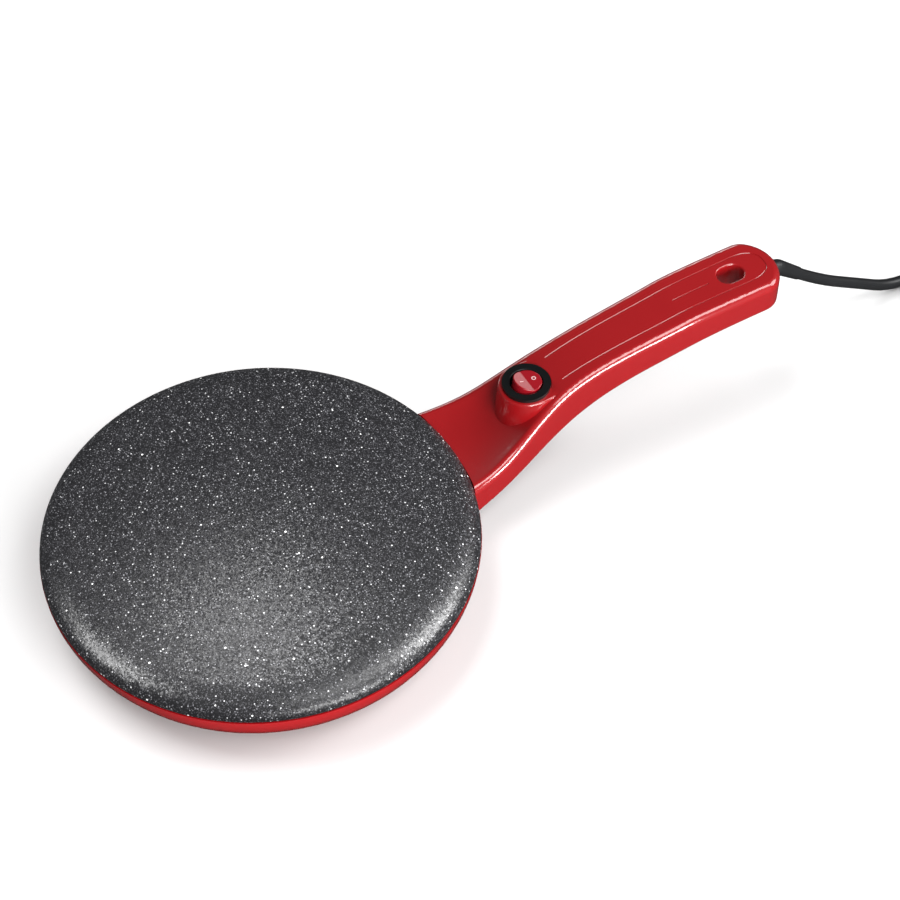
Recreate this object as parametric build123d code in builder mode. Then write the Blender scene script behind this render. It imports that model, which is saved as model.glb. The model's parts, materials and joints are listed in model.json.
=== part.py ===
"""Electric crepe maker: a domed hot plate on a round shell, with a moulded handle.

All sizes are in millimetres and all angles in degrees. +X runs along the handle, +Z is up.
The origin is under the middle of the object's length, on the surface that it stands on.
"""

import math
import os

from build123d import *

os.makedirs("parts", exist_ok=True)

# ---------------------------------------------------------------- cooking plate
plate_radius = 100
plate_crown = 17
plate_wall = 4
shoulder_radius = 7
lip_height = 1.0
skirt_setback = 3.6
skirt_wall = 3.4
skirt_depth = 4
plate_post_inset = 28
plate_post_radius = 4.5
plate_post_depth = 3.0

# ---------------------------------------------------------------- round shell
shell_overhang = 0.3
shell_wall = 2.5
shell_depth = 28
shell_curve = 30
shell_corner = 18
rim_gap = 0.5
foot_height = 3
foot_radius = 6
foot_inset = 38.3
foot_count = 4
foot_pocket = 1.2
shell_boss_radius = 5.2
shell_boss_height = 10
window_width = 26
window_height = 9
window_over = 9.5

# ---------------------------------------------------------------- handle
# Each line is a list of (distance from the plate's rim, height over the rim or half width).
handle_length = 179.5
tip_straight = 19.5
crest_line = [(-16, 0.2), (0, 1.3), (16, 4.9), (34, 14.6), (48, 22.3), (76, 30.4), (112, 35.0)]
crest_end = 37.0
keel_line = [(-16, -20.2), (16, -12.4), (48, -0.3), (80, 11.3), (112, 17.0)]
keel_end = 20.4
width_line = [(-16, 30.2), (16, 24.6), (40, 19.2), (56, 16.7), (80, 16.0)]
width_end = 17.3
ramp_line = [(-16, -1.5), (0, -1.2), (14, 0.8), (28, 7.4), (40, 15.4), (52, 24.4)]
tip_sagitta = 10.5
tip_corner = 11
cover_wall = 2.4
cover_skin = 2.6
crest_round = 4
keel_round = 2
ramp_inset = 3.6
brow_round = 3
tray_thickness = 2.4
seam_gap = 0.3
hang_hole_from_tip = 25
hang_hole_length = 13.8
hang_hole_width = 10.4
hang_sleeve_wall = 1.8
cover_screw_places = [(12, 16), (12, -16), (76, 0)]
last_screw_from_tip = 48.5
tray_pad_height = 2.4
pad_margin = 0.8
pad_root = 8
headroom = 60

# ---------------------------------------------------------------- rocker switch
switch_station = 40.5
boss_height = 22.5
boss_radius = 13.2
boss_taper = 6
boss_foot = 6
boss_round = 1.0
switch_hole_radius = 10.1
bezel_radius = 11.5
bezel_height = 1.9
bezel_round = 1.4
bezel_inner_round = 0.5
barrel_radius = 9.9
barrel_depth = 12.5
barrel_bore = 8.4
barrel_floor = 2.0
opening_radius = 7.75
rocker_radius = 6.9
rocker_pivot_drop = 0.5
rocker_rise = 2.75
rocker_skirt = 2.2
rocker_wall = 1.3
rocker_swing = 11
pivot_pin_radius = 1.1
pivot_pin_reach = 9.2
pin_clearance = 0.05
stem_radius = 2.3
stem_bore = 1.35
stem_drop = 3.6
plunger_radius = 1.2
plunger_reach = 6.6
plunger_engaged = 1.2
contact_tilt = 8
contact_length = 11
contact_width = 3
contact_thickness = 0.5
contact_gap = 0.35
contact_knuckle = 0.8
spring_radius = 0.95
spring_wire = 0.14
spring_turns = 4
blade_width = 4.8
blade_thickness = 0.8
blade_reach = 7.0
blade_pitch = 6.2
lamp_radius = 1.1
lamp_length = 5
lamp_offset = 3.6

# ---------------------------------------------------------------- heating parts
element_inset = 42
element_radius = 3.25
element_sink = 0.8
element_half_opening = 20
element_bend = 7
element_leg = 4
seal_radius = 4.2
seal_length = 7
tab_width = 6.3
tab_thickness = 0.8
tab_length = 8.5
groove_clearance = 0.1
pad_radius = 11
pad_drop = 2.5
cap_radius = 8.4
cap_height = 3.4
cap_flange_radius = 9.6
cap_flange_height = 0.6
thermostat_radius = 7.8
thermostat_height = 8.9
thermostat_tab_spread = 9
bracket_reach = 14
bracket_margin = 0.9
bracket_thickness = 0.8
small_post_radius = 3.5
small_screw_radius = 1.4
small_screw_head = 2.8
small_screw_head_height = 1.8
small_screw_depth = 5
fuse_offset = 30
fuse_radius = 2.0
fuse_length = 11
fuse_lead_reach = 19
fuse_lead_radius = 0.6
sleeve_bore = 2.3
sleeve_radius = 3.0
sleeve_length = 26
clip_width = 6
clip_thickness = 0.6
clip_reach = 8
receptacle_wall = 1.5
receptacle_height = 6.8
sleeve_overlap = 0.5
barrel_crimp_radius = 1.5
barrel_crimp_length = 4.5
earth_circle = 40
earth_angle = -35
earth_ring_thickness = 0.8
earth_ring_radius = 4.4
earth_crimp_length = 9
earth_crimp_radius = 1.9
shield_sheet = 0.6
shield_drop = 8
shield_step_gap = 5
shield_step_run = 1.5
shield_gap = 5
shield_centre_hole = 16
spacer_radius = 4.4
spacer_bore = 2.25

# ---------------------------------------------------------------- fasteners
plate_screw_radius = 1.95
plate_screw_head = 3.9
plate_screw_head_height = 2.6
plate_screw_grip = 6
plate_screw_shelf = 4
cover_screw_radius = 1.6
cover_screw_head = 3.1
cover_screw_head_height = 1.9
cover_screw_length = 8.5
cover_post_radius = 4.0
seat_sink = 1.2
head_clearance = 0.3
clearance = 0.1

# ---------------------------------------------------------------- mains lead
cord_diameter = 5.8
relief_root_radius = 3.9
relief_end_radius = 3.3
relief_droop = 40
relief_bend = 6.5
relief_neck = 0.4
relief_cone = 16.6
relief_over_keel = 7.0
flange_size = (13, 9.2)
flange_thickness = 1.6
flange_setback = 1.3
sheath_reach = 12.8
clamp_from_tip = 10
clamp_width = 5
clamp_spread = 7.5
clamp_post_radius = 2.8
clamp_height = 4
clamp_post_root = 8
clamp_lift = 0.5
lead_radius = 1.1
lead_bend = 2.5
lead_gap = 1.3
core_straight = 1.9
core_turn = 5.3
coil_turn_radius = 30
coil_turns_across = 3
coil_layers = 2
coil_turn_count = 5.25
coil_place = (298, -35.8)
cord_first_run = 20.6
cord_route = [(236.6, -0.4, 18.4), (262.5, -1.3, 2.9)]
tail_length = 18
plug_face_radius = 18.5
plug_face_depth = 9
plug_sleeve_radius = 4.6
plug_sleeve_length = 26
plug_sleeve_end = 3.8
plug_grip_length = 22
plug_grip_radius = 12.5
plug_tilt = 17
pin_radius = 2.4
pin_length = 19
pin_pitch = 19

# ---------------------------------------------------------------- derived places
rim_z = foot_height + shell_depth
shell_radius = plate_radius + shell_overhang
shell_top = rim_z - lip_height - rim_gap
skirt_radius = plate_radius - skirt_setback
plate_post_circle = plate_radius - plate_post_inset
element_circle = plate_radius - element_inset
foot_circle = shell_radius - foot_inset
shield_step_outer = plate_post_circle - shield_step_gap
shield_step_inner = shield_step_outer - shield_step_run
shield_radius = skirt_radius - skirt_wall - shield_gap
pan_x = -(plate_radius + handle_length - shell_radius) / 2
shell_boss_top = foot_height + shell_boss_height
clear_height = rim_z + plate_crown + headroom
post_bottom = rim_z - plate_post_depth
shield_floor = post_bottom - shield_drop
bowl_floor = foot_height + shell_wall
boss_top = rim_z + boss_height
pivot_z = boss_top - rocker_pivot_drop
dome_radius = ((plate_radius - shoulder_radius) ** 2 + plate_crown**2 - shoulder_radius**2) / (
    2 * (plate_crown - shoulder_radius)
)
dome_centre = rim_z + plate_crown - dome_radius
crest = crest_line + [(handle_length - tip_straight, crest_end)]
keel = keel_line + [(handle_length - tip_straight, keel_end)]
half_width = width_line + [(handle_length - tip_straight, width_end)]
last_screw = handle_length - last_screw_from_tip
screw_places = cover_screw_places + [(last_screw, 0)]
roof_line = ramp_line + [point for point in crest if point[0] > ramp_line[-1][0]]

pan = Plane(origin=(pan_x, 0, 0))
pan_side = Plane(origin=(pan_x, 0, 0), x_dir=(1, 0, 0), z_dir=(0, -1, 0))
pan_axis = Axis((pan_x, 0, 0), (0, 0, 1))
root = Plane(origin=(pan_x + plate_radius, 0, 0))
root_side = Plane(origin=(pan_x + plate_radius, 0, 0), x_dir=(1, 0, 0), z_dir=(0, -1, 0))
hang_hole_x = handle_length - hang_hole_from_tip


def write(part, name):
    """Labels a finished piece and writes its STEP file."""
    part.label = name
    export_step(part, f"parts/{name}.step")


def dome_height(radius, inset=0):
    """Height of the plate's dome, or of the surface `inset` under it, at a radius."""
    return dome_centre + math.sqrt((dome_radius - inset) ** 2 - radius**2)


def on_circle(radius, angle):
    """Point on a circle about the pan's axis, in the pan's own frame."""
    return (radius * math.cos(math.radians(angle)), radius * math.sin(math.radians(angle)))


def line_height(line, station):
    """Height over the rim of a handle line at a station, read from its own spline."""
    curve = Edge.make_spline([Vector(x, z) for x, z in line])
    low, high = 0.0, 1.0
    for _ in range(40):
        middle = (low + high) / 2
        if (curve @ middle).X < station:
            low = middle
        else:
            high = middle
    return (curve @ low).Y


def smooth_line(points, shift):
    """Spline through a handle line, which starts along its first step and ends level."""
    places = [(x, rim_z + z + shift) for x, z in points]
    start = (places[1][0] - places[0][0], places[1][1] - places[0][1])
    return Spline(*places, tangents=[start, (1, 0)])


def handle_block(inset, top_line, top_shift, bottom_line, bottom_shift):
    """Solid inside the handle's plan outline, between an upper and a lower line."""
    end_x = handle_length - inset
    shoulder_x = end_x - tip_sagitta
    end_y = width_end - inset
    root_y = width_line[0][1] - inset
    slope = (width_line[1][1] - width_line[0][1]) / (width_line[1][0] - width_line[0][0])
    with BuildPart() as block:
        with BuildSketch(root) as plan:
            with BuildLine():
                for way in (1, -1):
                    flank = Spline(
                        *[(x, way * (y - inset)) for x, y in half_width],
                        tangents=[(1, way * slope), (1, 0)],
                    )
                    Line(flank @ 1, (shoulder_x, way * end_y))
                ThreePointArc((shoulder_x, end_y), (end_x, 0), (shoulder_x, -end_y))
                Line((width_line[0][0], root_y), (width_line[0][0], -root_y))
            make_face()
            fillet(plan.vertices().group_by(Axis.X)[-1], tip_corner - inset)
        extrude(amount=clear_height)
        with BuildSketch(root_side.offset(-2 * width_line[0][1])):
            with BuildLine():
                upper = smooth_line(top_line, top_shift)
                lower = smooth_line(bottom_line, bottom_shift)
                upper_end = Line(upper @ 1, (handle_length + 1, (upper @ 1).Y))
                lower_end = Line(lower @ 1, (handle_length + 1, (lower @ 1).Y))
                Line(upper_end @ 1, lower_end @ 1)
                Line(upper @ 0, lower @ 0)
            make_face()
        extrude(amount=4 * width_line[0][1], mode=Mode.INTERSECT)
    return block.part


def bowl_block(inset, top):
    """Solid of revolution inside the round shell's outline, up to a height."""
    curve = shell_curve - inset
    floor = foot_height + inset
    centre = (shell_radius - shell_curve, rim_z)
    low_angle = math.degrees(math.asin((rim_z - floor) / curve))
    high_angle = math.degrees(math.asin(max(rim_z - top, 0) / curve))
    with BuildPart() as block:
        with BuildSketch(pan_side):
            with BuildLine():
                side_arc = CenterArc(centre, curve, -low_angle, low_angle - high_angle)
                Line((0, floor), side_arc @ 0)
                if top > rim_z:
                    Line(side_arc @ 1, ((side_arc @ 1).X, top))
                Polyline(((side_arc @ 1).X, top), (0, top), (0, floor))
            make_face()
        revolve(axis=pan_axis)
        bottom = block.faces().sort_by(Axis.Z)[0]
        fillet(bottom.edges(), shell_corner)
    return block.part


def boss_block(grow, top):
    """The round switch boss with its arms, which runs back into the grip."""
    with BuildPart() as block:
        with BuildSketch(root.offset(top)):
            with Locations((switch_station, 0)):
                Circle(boss_radius + grow)
            with Locations((switch_station + boss_radius / 2, 0)):
                Rectangle(boss_radius, 2 * (boss_radius + grow))
        extrude(amount=-(boss_height - boss_foot), taper=-boss_taper)
        top_face = block.faces().sort_by(Axis.Z)[-1]
        front = [edge for edge in top_face.edges() if edge.center().X < switch_centre.X + boss_radius / 2 + 1]
        fillet(ShapeList(front), boss_round)
    return block.part


switch_centre = root.origin + Vector(switch_station, 0, 0)


def silhouette_edges(part, upward):
    """Edges between the handle's top (or bottom) faces and its flanks."""
    sign = 1 if upward else -1
    caps = [face for face in part.faces() if sign * face.normal_at(face.center()).Z > 0.5]
    edges = [edge for face in caps for edge in face.edges()]
    beyond_root = pan_x + plate_radius + width_line[0][0] + 1
    return ShapeList(edge for edge in edges if edge.center().X > beyond_root)



def line_level(line, station):
    """Absolute height of a handle line at a station."""
    return rim_z + line_height(line, station)


def headed_screw(plane, place, seat, shank_radius, depth, head_radius, head_height, up=True):
    """Screw with a domed head; its shank runs up (or down) from its seat."""
    sign = 1 if up else -1
    with BuildPart() as screw:
        with BuildSketch(plane.offset(seat)):
            with Locations(place):
                Circle(shank_radius)
        extrude(amount=sign * depth)
        with BuildSketch(plane.offset(seat)):
            with Locations(place):
                Circle(head_radius)
        extrude(amount=-sign * head_height)
        far = screw.faces().sort_by(Axis.Z)[0 if up else -1]
        fillet(far.edges(), head_height / 2)
        with BuildSketch(Plane(far.center(), x_dir=(1, 0, 0), z_dir=(0, 0, sign))):
            Rectangle(head_radius * 1.2, head_radius / 5)
            Rectangle(head_radius / 5, head_radius * 1.2)
        extrude(amount=head_height / 2, mode=Mode.SUBTRACT)
    return screw.part


def discs(plane, height, places, radius):
    """Circles at some places and a height, to be extruded as bosses or holes."""
    with BuildSketch(plane.offset(height)) as circles:
        with Locations(*places):
            Circle(radius)
    return circles.sketch


# ---------------------------------------------------------------- cooking plate
shoulder_centre = (plate_radius - shoulder_radius, rim_z)
shoulder_angle = math.degrees(math.atan2(rim_z - dome_centre, shoulder_centre[0]))
skirt_bore = skirt_radius - skirt_wall
skirt_bottom = rim_z - lip_height - skirt_depth
under_radius = dome_radius - plate_wall
under_angle = math.degrees(math.acos(skirt_bore / under_radius))
element_z = dome_height(element_circle, plate_wall) - element_sink - element_radius
pad_z = dome_height(0, plate_wall) - pad_drop
thermostat_top = pad_z - cap_height
fuse_z = rim_z
fuse_post_bottom = fuse_z + sleeve_radius + clip_thickness
earth_post_bottom = rim_z + 1
screw_circle = [on_circle(plate_post_circle, angle) for angle in (60, 180, 300)]
thermostat_posts = [(bracket_reach, 0), (-bracket_reach, 0)]
fuse_post = [(0, fuse_offset + clip_reach)]
earth_post = [on_circle(earth_circle, earth_angle)]
small_posts = [
    (thermostat_posts, thermostat_top),
    (fuse_post, fuse_post_bottom),
    (earth_post, earth_post_bottom),
]
opening_width = 2 * element_circle * math.sin(math.radians(element_half_opening))

with BuildPart() as cooking_plate:
    with BuildSketch(pan_side):
        with BuildLine():
            dome = CenterArc((0, dome_centre), dome_radius, shoulder_angle, 90 - shoulder_angle)
            shoulder = CenterArc(shoulder_centre, shoulder_radius, 0, shoulder_angle)
            under = CenterArc((0, dome_centre), under_radius, under_angle, 90 - under_angle)
            Polyline(
                shoulder @ 0,
                (plate_radius, rim_z - lip_height),
                (skirt_radius, rim_z - lip_height),
                (skirt_radius, skirt_bottom),
                (skirt_bore, skirt_bottom),
                under @ 0,
            )
            Line(under @ 1, dome @ 1)
        make_face()
    revolve(axis=pan_axis)
    with BuildSketch(pan.offset(element_z - 1)):
        Circle(element_circle + 2 * element_radius)
        Circle(element_circle - 2 * element_radius, mode=Mode.SUBTRACT)
    extrude(until=Until.NEXT)
    extrude(discs(pan, pad_z, [(0, 0)], pad_radius), amount=pad_drop + 1)
    for places, bottom in small_posts:
        middle_of_wall = dome_height(math.hypot(*places[0]), plate_wall / 2)
        extrude(discs(pan, bottom, places, small_post_radius), amount=middle_of_wall - bottom)
    middle_of_wall = dome_height(plate_post_circle, plate_wall / 2)
    extrude(discs(pan, post_bottom, screw_circle, plate_post_radius),
            amount=middle_of_wall - post_bottom)
    with BuildSketch(pan_side):
        with Locations((element_circle, element_z)):
            Circle(element_radius + groove_clearance)
        with Locations((element_circle, element_z - element_radius)):
            Rectangle(2 * (element_radius + groove_clearance), 2 * element_radius)
    revolve(axis=pan_axis, mode=Mode.SUBTRACT)
    with BuildSketch(pan.offset(skirt_bottom)):
        with Locations((element_circle, 0)):
            Rectangle(5 * element_radius, opening_width)
    extrude(amount=element_z + element_radius - skirt_bottom, mode=Mode.SUBTRACT)
    for places, bottom in small_posts:
        extrude(discs(pan, bottom, places, small_screw_radius + clearance), amount=small_screw_depth,
                mode=Mode.SUBTRACT)
    extrude(discs(pan, post_bottom, screw_circle, plate_screw_radius + clearance),
            amount=plate_screw_grip + 1, mode=Mode.SUBTRACT)
write(cooking_plate.part, "cooking_plate")

# ---------------------------------------------------------------- heating element
element_ends = []
for side in (1, -1):
    end = on_circle(element_circle, side * element_half_opening)
    turn = math.radians(element_half_opening)
    onward = (math.sin(turn), -side * math.cos(turn))
    element_ends.append((Vector(pan_x + end[0], end[1], element_z), Vector(*onward, 0)))
leg_places = [end + onward * element_bend for end, onward in element_ends]
seal_top = element_z - element_bend - element_leg
seal_bottom = seal_top - seal_length
tab_bottom = seal_bottom - tab_length

with BuildPart() as element_ring:
    with BuildSketch(pan_side):
        with Locations((element_circle, element_z)):
            Circle(element_radius)
    revolve(axis=pan_axis, revolution_arc=360 - 2 * element_half_opening)

with BuildPart() as heating_element:
    add(element_ring.part.rotate(pan_axis, element_half_opening))
    for end, onward in element_ends:
        with BuildSketch(Plane(end, x_dir=(0, 0, 1), z_dir=onward)):
            Circle(element_radius)
        across = Vector(0, 0, 1).cross(onward)
        revolve(axis=Axis(end - Vector(0, 0, element_bend), across), revolution_arc=90)
        foot = end + onward * element_bend - Vector(0, 0, element_bend)
        with BuildSketch(Plane(foot, z_dir=(0, 0, -1))):
            Circle(element_radius)
        extrude(amount=element_leg)
write(heating_element.part, "heating_element")

with BuildPart() as element_seals:
    for place in leg_places:
        with BuildSketch(Plane((place.X, place.Y, seal_bottom))):
            Circle(seal_radius)
        extrude(amount=seal_length)
    chamfer(element_seals.faces().filter_by(Axis.Z).edges(), 0.4)
write(element_seals.part, "element_seals")

with BuildPart() as element_tabs:
    for place in leg_places:
        with BuildSketch(Plane((place.X, place.Y, tab_bottom))):
            Rectangle(tab_thickness, tab_width)
        extrude(amount=tab_length)
write(element_tabs.part, "element_tabs")

# ---------------------------------------------------------------- thermostat
thermostat_bottom = thermostat_top - thermostat_height
with BuildPart() as thermostat_cap:
    with BuildSketch(pan.offset(thermostat_top)):
        Circle(cap_radius)
    extrude(amount=cap_height)
    fillet(thermostat_cap.faces().sort_by(Axis.Z)[-1].edges(), 0.8)
    with BuildSketch(pan.offset(thermostat_top)):
        Circle(cap_flange_radius)
    extrude(amount=cap_flange_height)
write(thermostat_cap.part, "thermostat_cap")

with BuildPart() as thermostat_body:
    with BuildSketch(pan.offset(thermostat_bottom)):
        Circle(thermostat_radius)
    extrude(amount=thermostat_height)
    fillet(thermostat_body.faces().sort_by(Axis.Z)[0].edges(), 1)
write(thermostat_body.part, "thermostat_body")

with BuildPart() as thermostat_tabs:
    with BuildSketch(pan.offset(thermostat_bottom - tab_length)):
        with Locations((0, thermostat_tab_spread / 2), (0, -thermostat_tab_spread / 2)):
            Rectangle(tab_width, tab_thickness)
    extrude(amount=tab_length)
write(thermostat_tabs.part, "thermostat_tabs")

with BuildPart() as thermostat_bracket:
    with BuildSketch(pan.offset(thermostat_top)):
        Circle(cap_flange_radius + bracket_margin)
        Rectangle(2 * (bracket_reach + small_post_radius), 2 * small_post_radius)
        Circle(thermostat_radius + clearance, mode=Mode.SUBTRACT)
        with Locations(*thermostat_posts):
            Circle(small_screw_radius + clearance, mode=Mode.SUBTRACT)
    extrude(amount=-bracket_thickness)
write(thermostat_bracket.part, "thermostat_bracket")

with BuildPart() as small_screws:
    for place in thermostat_posts:
        add(headed_screw(pan, place, thermostat_top - bracket_thickness, small_screw_radius,
                         small_screw_depth, small_screw_head, small_screw_head_height))
write(small_screws.part, "thermostat_screws")

# ---------------------------------------------------------------- thermal fuse
fuse_line = Plane((pan_x, fuse_offset, fuse_z), x_dir=(0, 1, 0), z_dir=(1, 0, 0))
with BuildPart() as thermal_fuse:
    with BuildSketch(fuse_line.offset(-fuse_length / 2)):
        Circle(fuse_radius)
    extrude(amount=fuse_length)
    chamfer(thermal_fuse.edges().filter_by(GeomType.CIRCLE), 0.5)
    with BuildSketch(fuse_line.offset(-fuse_lead_reach)):
        Circle(fuse_lead_radius)
    extrude(amount=2 * fuse_lead_reach)
write(thermal_fuse.part, "thermal_fuse")

with BuildPart() as fuse_sleeve:
    with BuildSketch(fuse_line.offset(-sleeve_length / 2)):
        Circle(sleeve_radius)
        Circle(sleeve_bore, mode=Mode.SUBTRACT)
    extrude(amount=sleeve_length)
write(fuse_sleeve.part, "fuse_sleeve")

with BuildPart() as fuse_clip:
    with BuildSketch(fuse_line.offset(-clip_width / 2)):
        Circle(sleeve_radius + clearance / 2 + clip_thickness)
        with Locations(((clip_reach + small_post_radius) / 2, sleeve_radius + clip_thickness / 2)):
            Rectangle(clip_reach + small_post_radius, clip_thickness)
        Circle(sleeve_radius + clearance / 2, mode=Mode.SUBTRACT)
    extrude(amount=clip_width)
    extrude(discs(pan, fuse_z, fuse_post, small_screw_radius + clearance), amount=2 * sleeve_radius,
            mode=Mode.SUBTRACT)
write(fuse_clip.part, "fuse_clip")

with BuildPart() as fuse_clip_screw:
    add(headed_screw(pan, fuse_post[0], fuse_post_bottom - clip_thickness, small_screw_radius,
                     small_screw_depth, small_screw_head, small_screw_head_height))
write(fuse_clip_screw.part, "fuse_clip_screw")

# ---------------------------------------------------------------- earth connection
earth_plane = Plane((pan_x + earth_post[0][0], earth_post[0][1], earth_post_bottom))
crimp_start = Vector(2 * earth_ring_radius - 1, 0, -earth_crimp_radius)
with BuildPart() as earth_ring:
    with BuildSketch(earth_plane):
        Circle(earth_ring_radius)
        with Locations((earth_ring_radius, 0)):
            Rectangle(2 * earth_ring_radius, 2 * earth_crimp_radius)
        Circle(small_screw_radius + clearance, mode=Mode.SUBTRACT)
    extrude(amount=-earth_ring_thickness)
    with BuildSketch(Plane(earth_plane.origin + crimp_start, z_dir=(1, 0, 0))):
        Circle(earth_crimp_radius)
    extrude(amount=earth_crimp_length - earth_ring_radius)
write(earth_ring.part, "earth_ring")

with BuildPart() as earth_screw:
    add(headed_screw(pan, earth_post[0], earth_post_bottom - earth_ring_thickness, small_screw_radius,
                     small_screw_depth, small_screw_head, small_screw_head_height))
write(earth_screw.part, "earth_screw")

# ---------------------------------------------------------------- heat shield and spacers
shield_top = post_bottom
seal_window = 2 * (max(abs(place.Y) for place in leg_places) + seal_radius + 1.5)
with BuildPart() as heat_shield:
    with BuildSketch(pan_side):
        with BuildLine():
            Polyline(
                (shield_centre_hole, shield_floor),
                (shield_step_inner, shield_floor),
                (shield_step_outer, shield_top - shield_sheet),
                (shield_radius, shield_top - shield_sheet),
                (shield_radius, shield_top),
                (shield_step_outer - shield_sheet, shield_top),
                (shield_step_inner - shield_sheet, shield_floor + shield_sheet),
                (shield_centre_hole, shield_floor + shield_sheet),
                close=True,
            )
        make_face()
    revolve(axis=pan_axis)
    with BuildSketch(pan.offset(shield_floor)):
        with Locations((leg_places[0].X - pan_x, 0)):
            SlotOverall(seal_window, 2 * (seal_radius + 1.5), rotation=90)
    extrude(amount=seal_radius, mode=Mode.SUBTRACT)
    extrude(discs(pan, shield_floor, screw_circle, plate_screw_radius + clearance), amount=shield_top,
            mode=Mode.SUBTRACT)
write(heat_shield.part, "heat_shield")

with BuildPart() as plate_spacers:
    with BuildSketch(pan.offset(shell_boss_top)):
        with Locations(*screw_circle):
            Circle(spacer_radius)
            Circle(spacer_bore, mode=Mode.SUBTRACT)
    extrude(amount=shield_top - shield_sheet - shell_boss_top)
write(plate_spacers.part, "plate_spacers")

# ---------------------------------------------------------------- base shell
screw_seat = shell_boss_top - plate_screw_shelf
plate_screw_length = post_bottom + plate_screw_grip - screw_seat
foot_places = [on_circle(foot_circle, 45 + 90 * index) for index in range(foot_count)]
cover_screw_seats = [line_level(keel, x) + cover_screw_head_height + seat_sink for x, y in screw_places]
tip_x = handle_length
relief_z = line_level(keel, tip_x - tip_straight) + relief_over_keel
clamp_x = tip_x - clamp_from_tip
clamp_posts = [(clamp_x, clamp_spread), (clamp_x, -clamp_spread)]
sheath_radius = cord_diameter / 2

with BuildPart() as tray:
    for (x, y), seat in zip(screw_places, cover_screw_seats):
        extrude(discs(root, seat - pad_root, [(x, y)], cover_post_radius + pad_margin),
                amount=tray_pad_height + pad_root)
    extrude(discs(root, relief_z - clamp_post_root, clamp_posts, clamp_post_radius),
            amount=clamp_post_root + clamp_lift)
    with BuildSketch(root.offset(relief_z - clamp_post_root)):
        with Locations((clamp_x, 0)):
            Rectangle(clamp_width - 1, 2 * clamp_spread)
    extrude(amount=clamp_post_root - 1)
    add(handle_block(cover_wall + seam_gap, keel, tray_thickness, keel, 0))
    add(handle_block(cover_wall + seam_gap, crest, 0, keel, 0), mode=Mode.INTERSECT)

with BuildPart() as base_shell:
    add(bowl_block(0, shell_top))
    add(tray.part)
    add(bowl_block(shell_wall, clear_height), mode=Mode.SUBTRACT)
    extrude(discs(pan, foot_height, screw_circle, shell_boss_radius), amount=shell_boss_height)
    extrude(discs(pan, foot_height, screw_circle, plate_screw_head + head_clearance),
            amount=screw_seat - foot_height, mode=Mode.SUBTRACT)
    extrude(discs(pan, screw_seat, screw_circle, plate_screw_radius + clearance), amount=shell_boss_height,
            mode=Mode.SUBTRACT)
    extrude(discs(pan, foot_height, foot_places, foot_radius + clearance), amount=foot_pocket,
            mode=Mode.SUBTRACT)
    with BuildSketch(Plane((pan_x + plate_radius - 10, 0, rim_z - window_over), z_dir=(1, 0, 0))):
        Rectangle(window_height, window_width)
    extrude(amount=14, mode=Mode.SUBTRACT)
    for (x, y), seat in zip(screw_places, cover_screw_seats):
        extrude(discs(root, 0, [(x, y)], cover_screw_head + head_clearance), amount=seat, mode=Mode.SUBTRACT)
        extrude(discs(root, 0, [(x, y)], cover_screw_radius + clearance), amount=clear_height,
                mode=Mode.SUBTRACT)
    with BuildSketch(root):
        with Locations((hang_hole_x, 0)):
            SlotOverall(
                hang_hole_length + 2 * (hang_sleeve_wall + seam_gap),
                hang_hole_width + 2 * (hang_sleeve_wall + seam_gap),
            )
    extrude(amount=clear_height, mode=Mode.SUBTRACT)
    with BuildSketch(Plane((root.origin.X + clamp_x - clamp_width, 0, relief_z), z_dir=(1, 0, 0))):
        Circle(sheath_radius + clearance / 2)
    extrude(amount=2 * clamp_width, mode=Mode.SUBTRACT)
    extrude(discs(root, relief_z - 4, clamp_posts, small_screw_radius + clearance), amount=10,
            mode=Mode.SUBTRACT)
write(base_shell.part, "base_shell")

with BuildPart() as rubber_feet:
    extrude(discs(pan, 0, foot_places, foot_radius), amount=foot_height + foot_pocket)
    fillet(rubber_feet.faces().group_by(Axis.Z)[0].edges(), 0.8)
write(rubber_feet.part, "rubber_feet")

with BuildPart() as plate_screws:
    for place in screw_circle:
        add(headed_screw(pan, place, screw_seat, plate_screw_radius, plate_screw_length, plate_screw_head,
                         plate_screw_head_height))
write(plate_screws.part, "plate_screws")

# ---------------------------------------------------------------- handle cover
ramp_middle = root.origin.X + (ramp_line[0][0] + ramp_line[-1][0]) / 2
with BuildPart() as ramp_channel:
    for station, floor in ramp_line:
        reach = line_height(half_width, station) - ramp_inset
        brow = line_level(crest, station)
        section = Plane((root.origin.X + station, 0, 0), x_dir=(0, 1, 0), z_dir=(1, 0, 0))
        with BuildSketch(section):
            with BuildLine():
                ThreePointArc((-reach, brow), (0, rim_z + floor), (reach, brow))
                Polyline((reach, brow), (reach, clear_height), (-reach, clear_height), (-reach, brow))
            make_face()
    loft()

with BuildPart() as hang_sleeve:
    with BuildSketch(root):
        with Locations((hang_hole_x, 0)):
            SlotOverall(hang_hole_length + 2 * hang_sleeve_wall, hang_hole_width + 2 * hang_sleeve_wall)
    extrude(amount=clear_height)
    add(handle_block(0, crest, -1, keel, 0), mode=Mode.INTERSECT)

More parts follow.
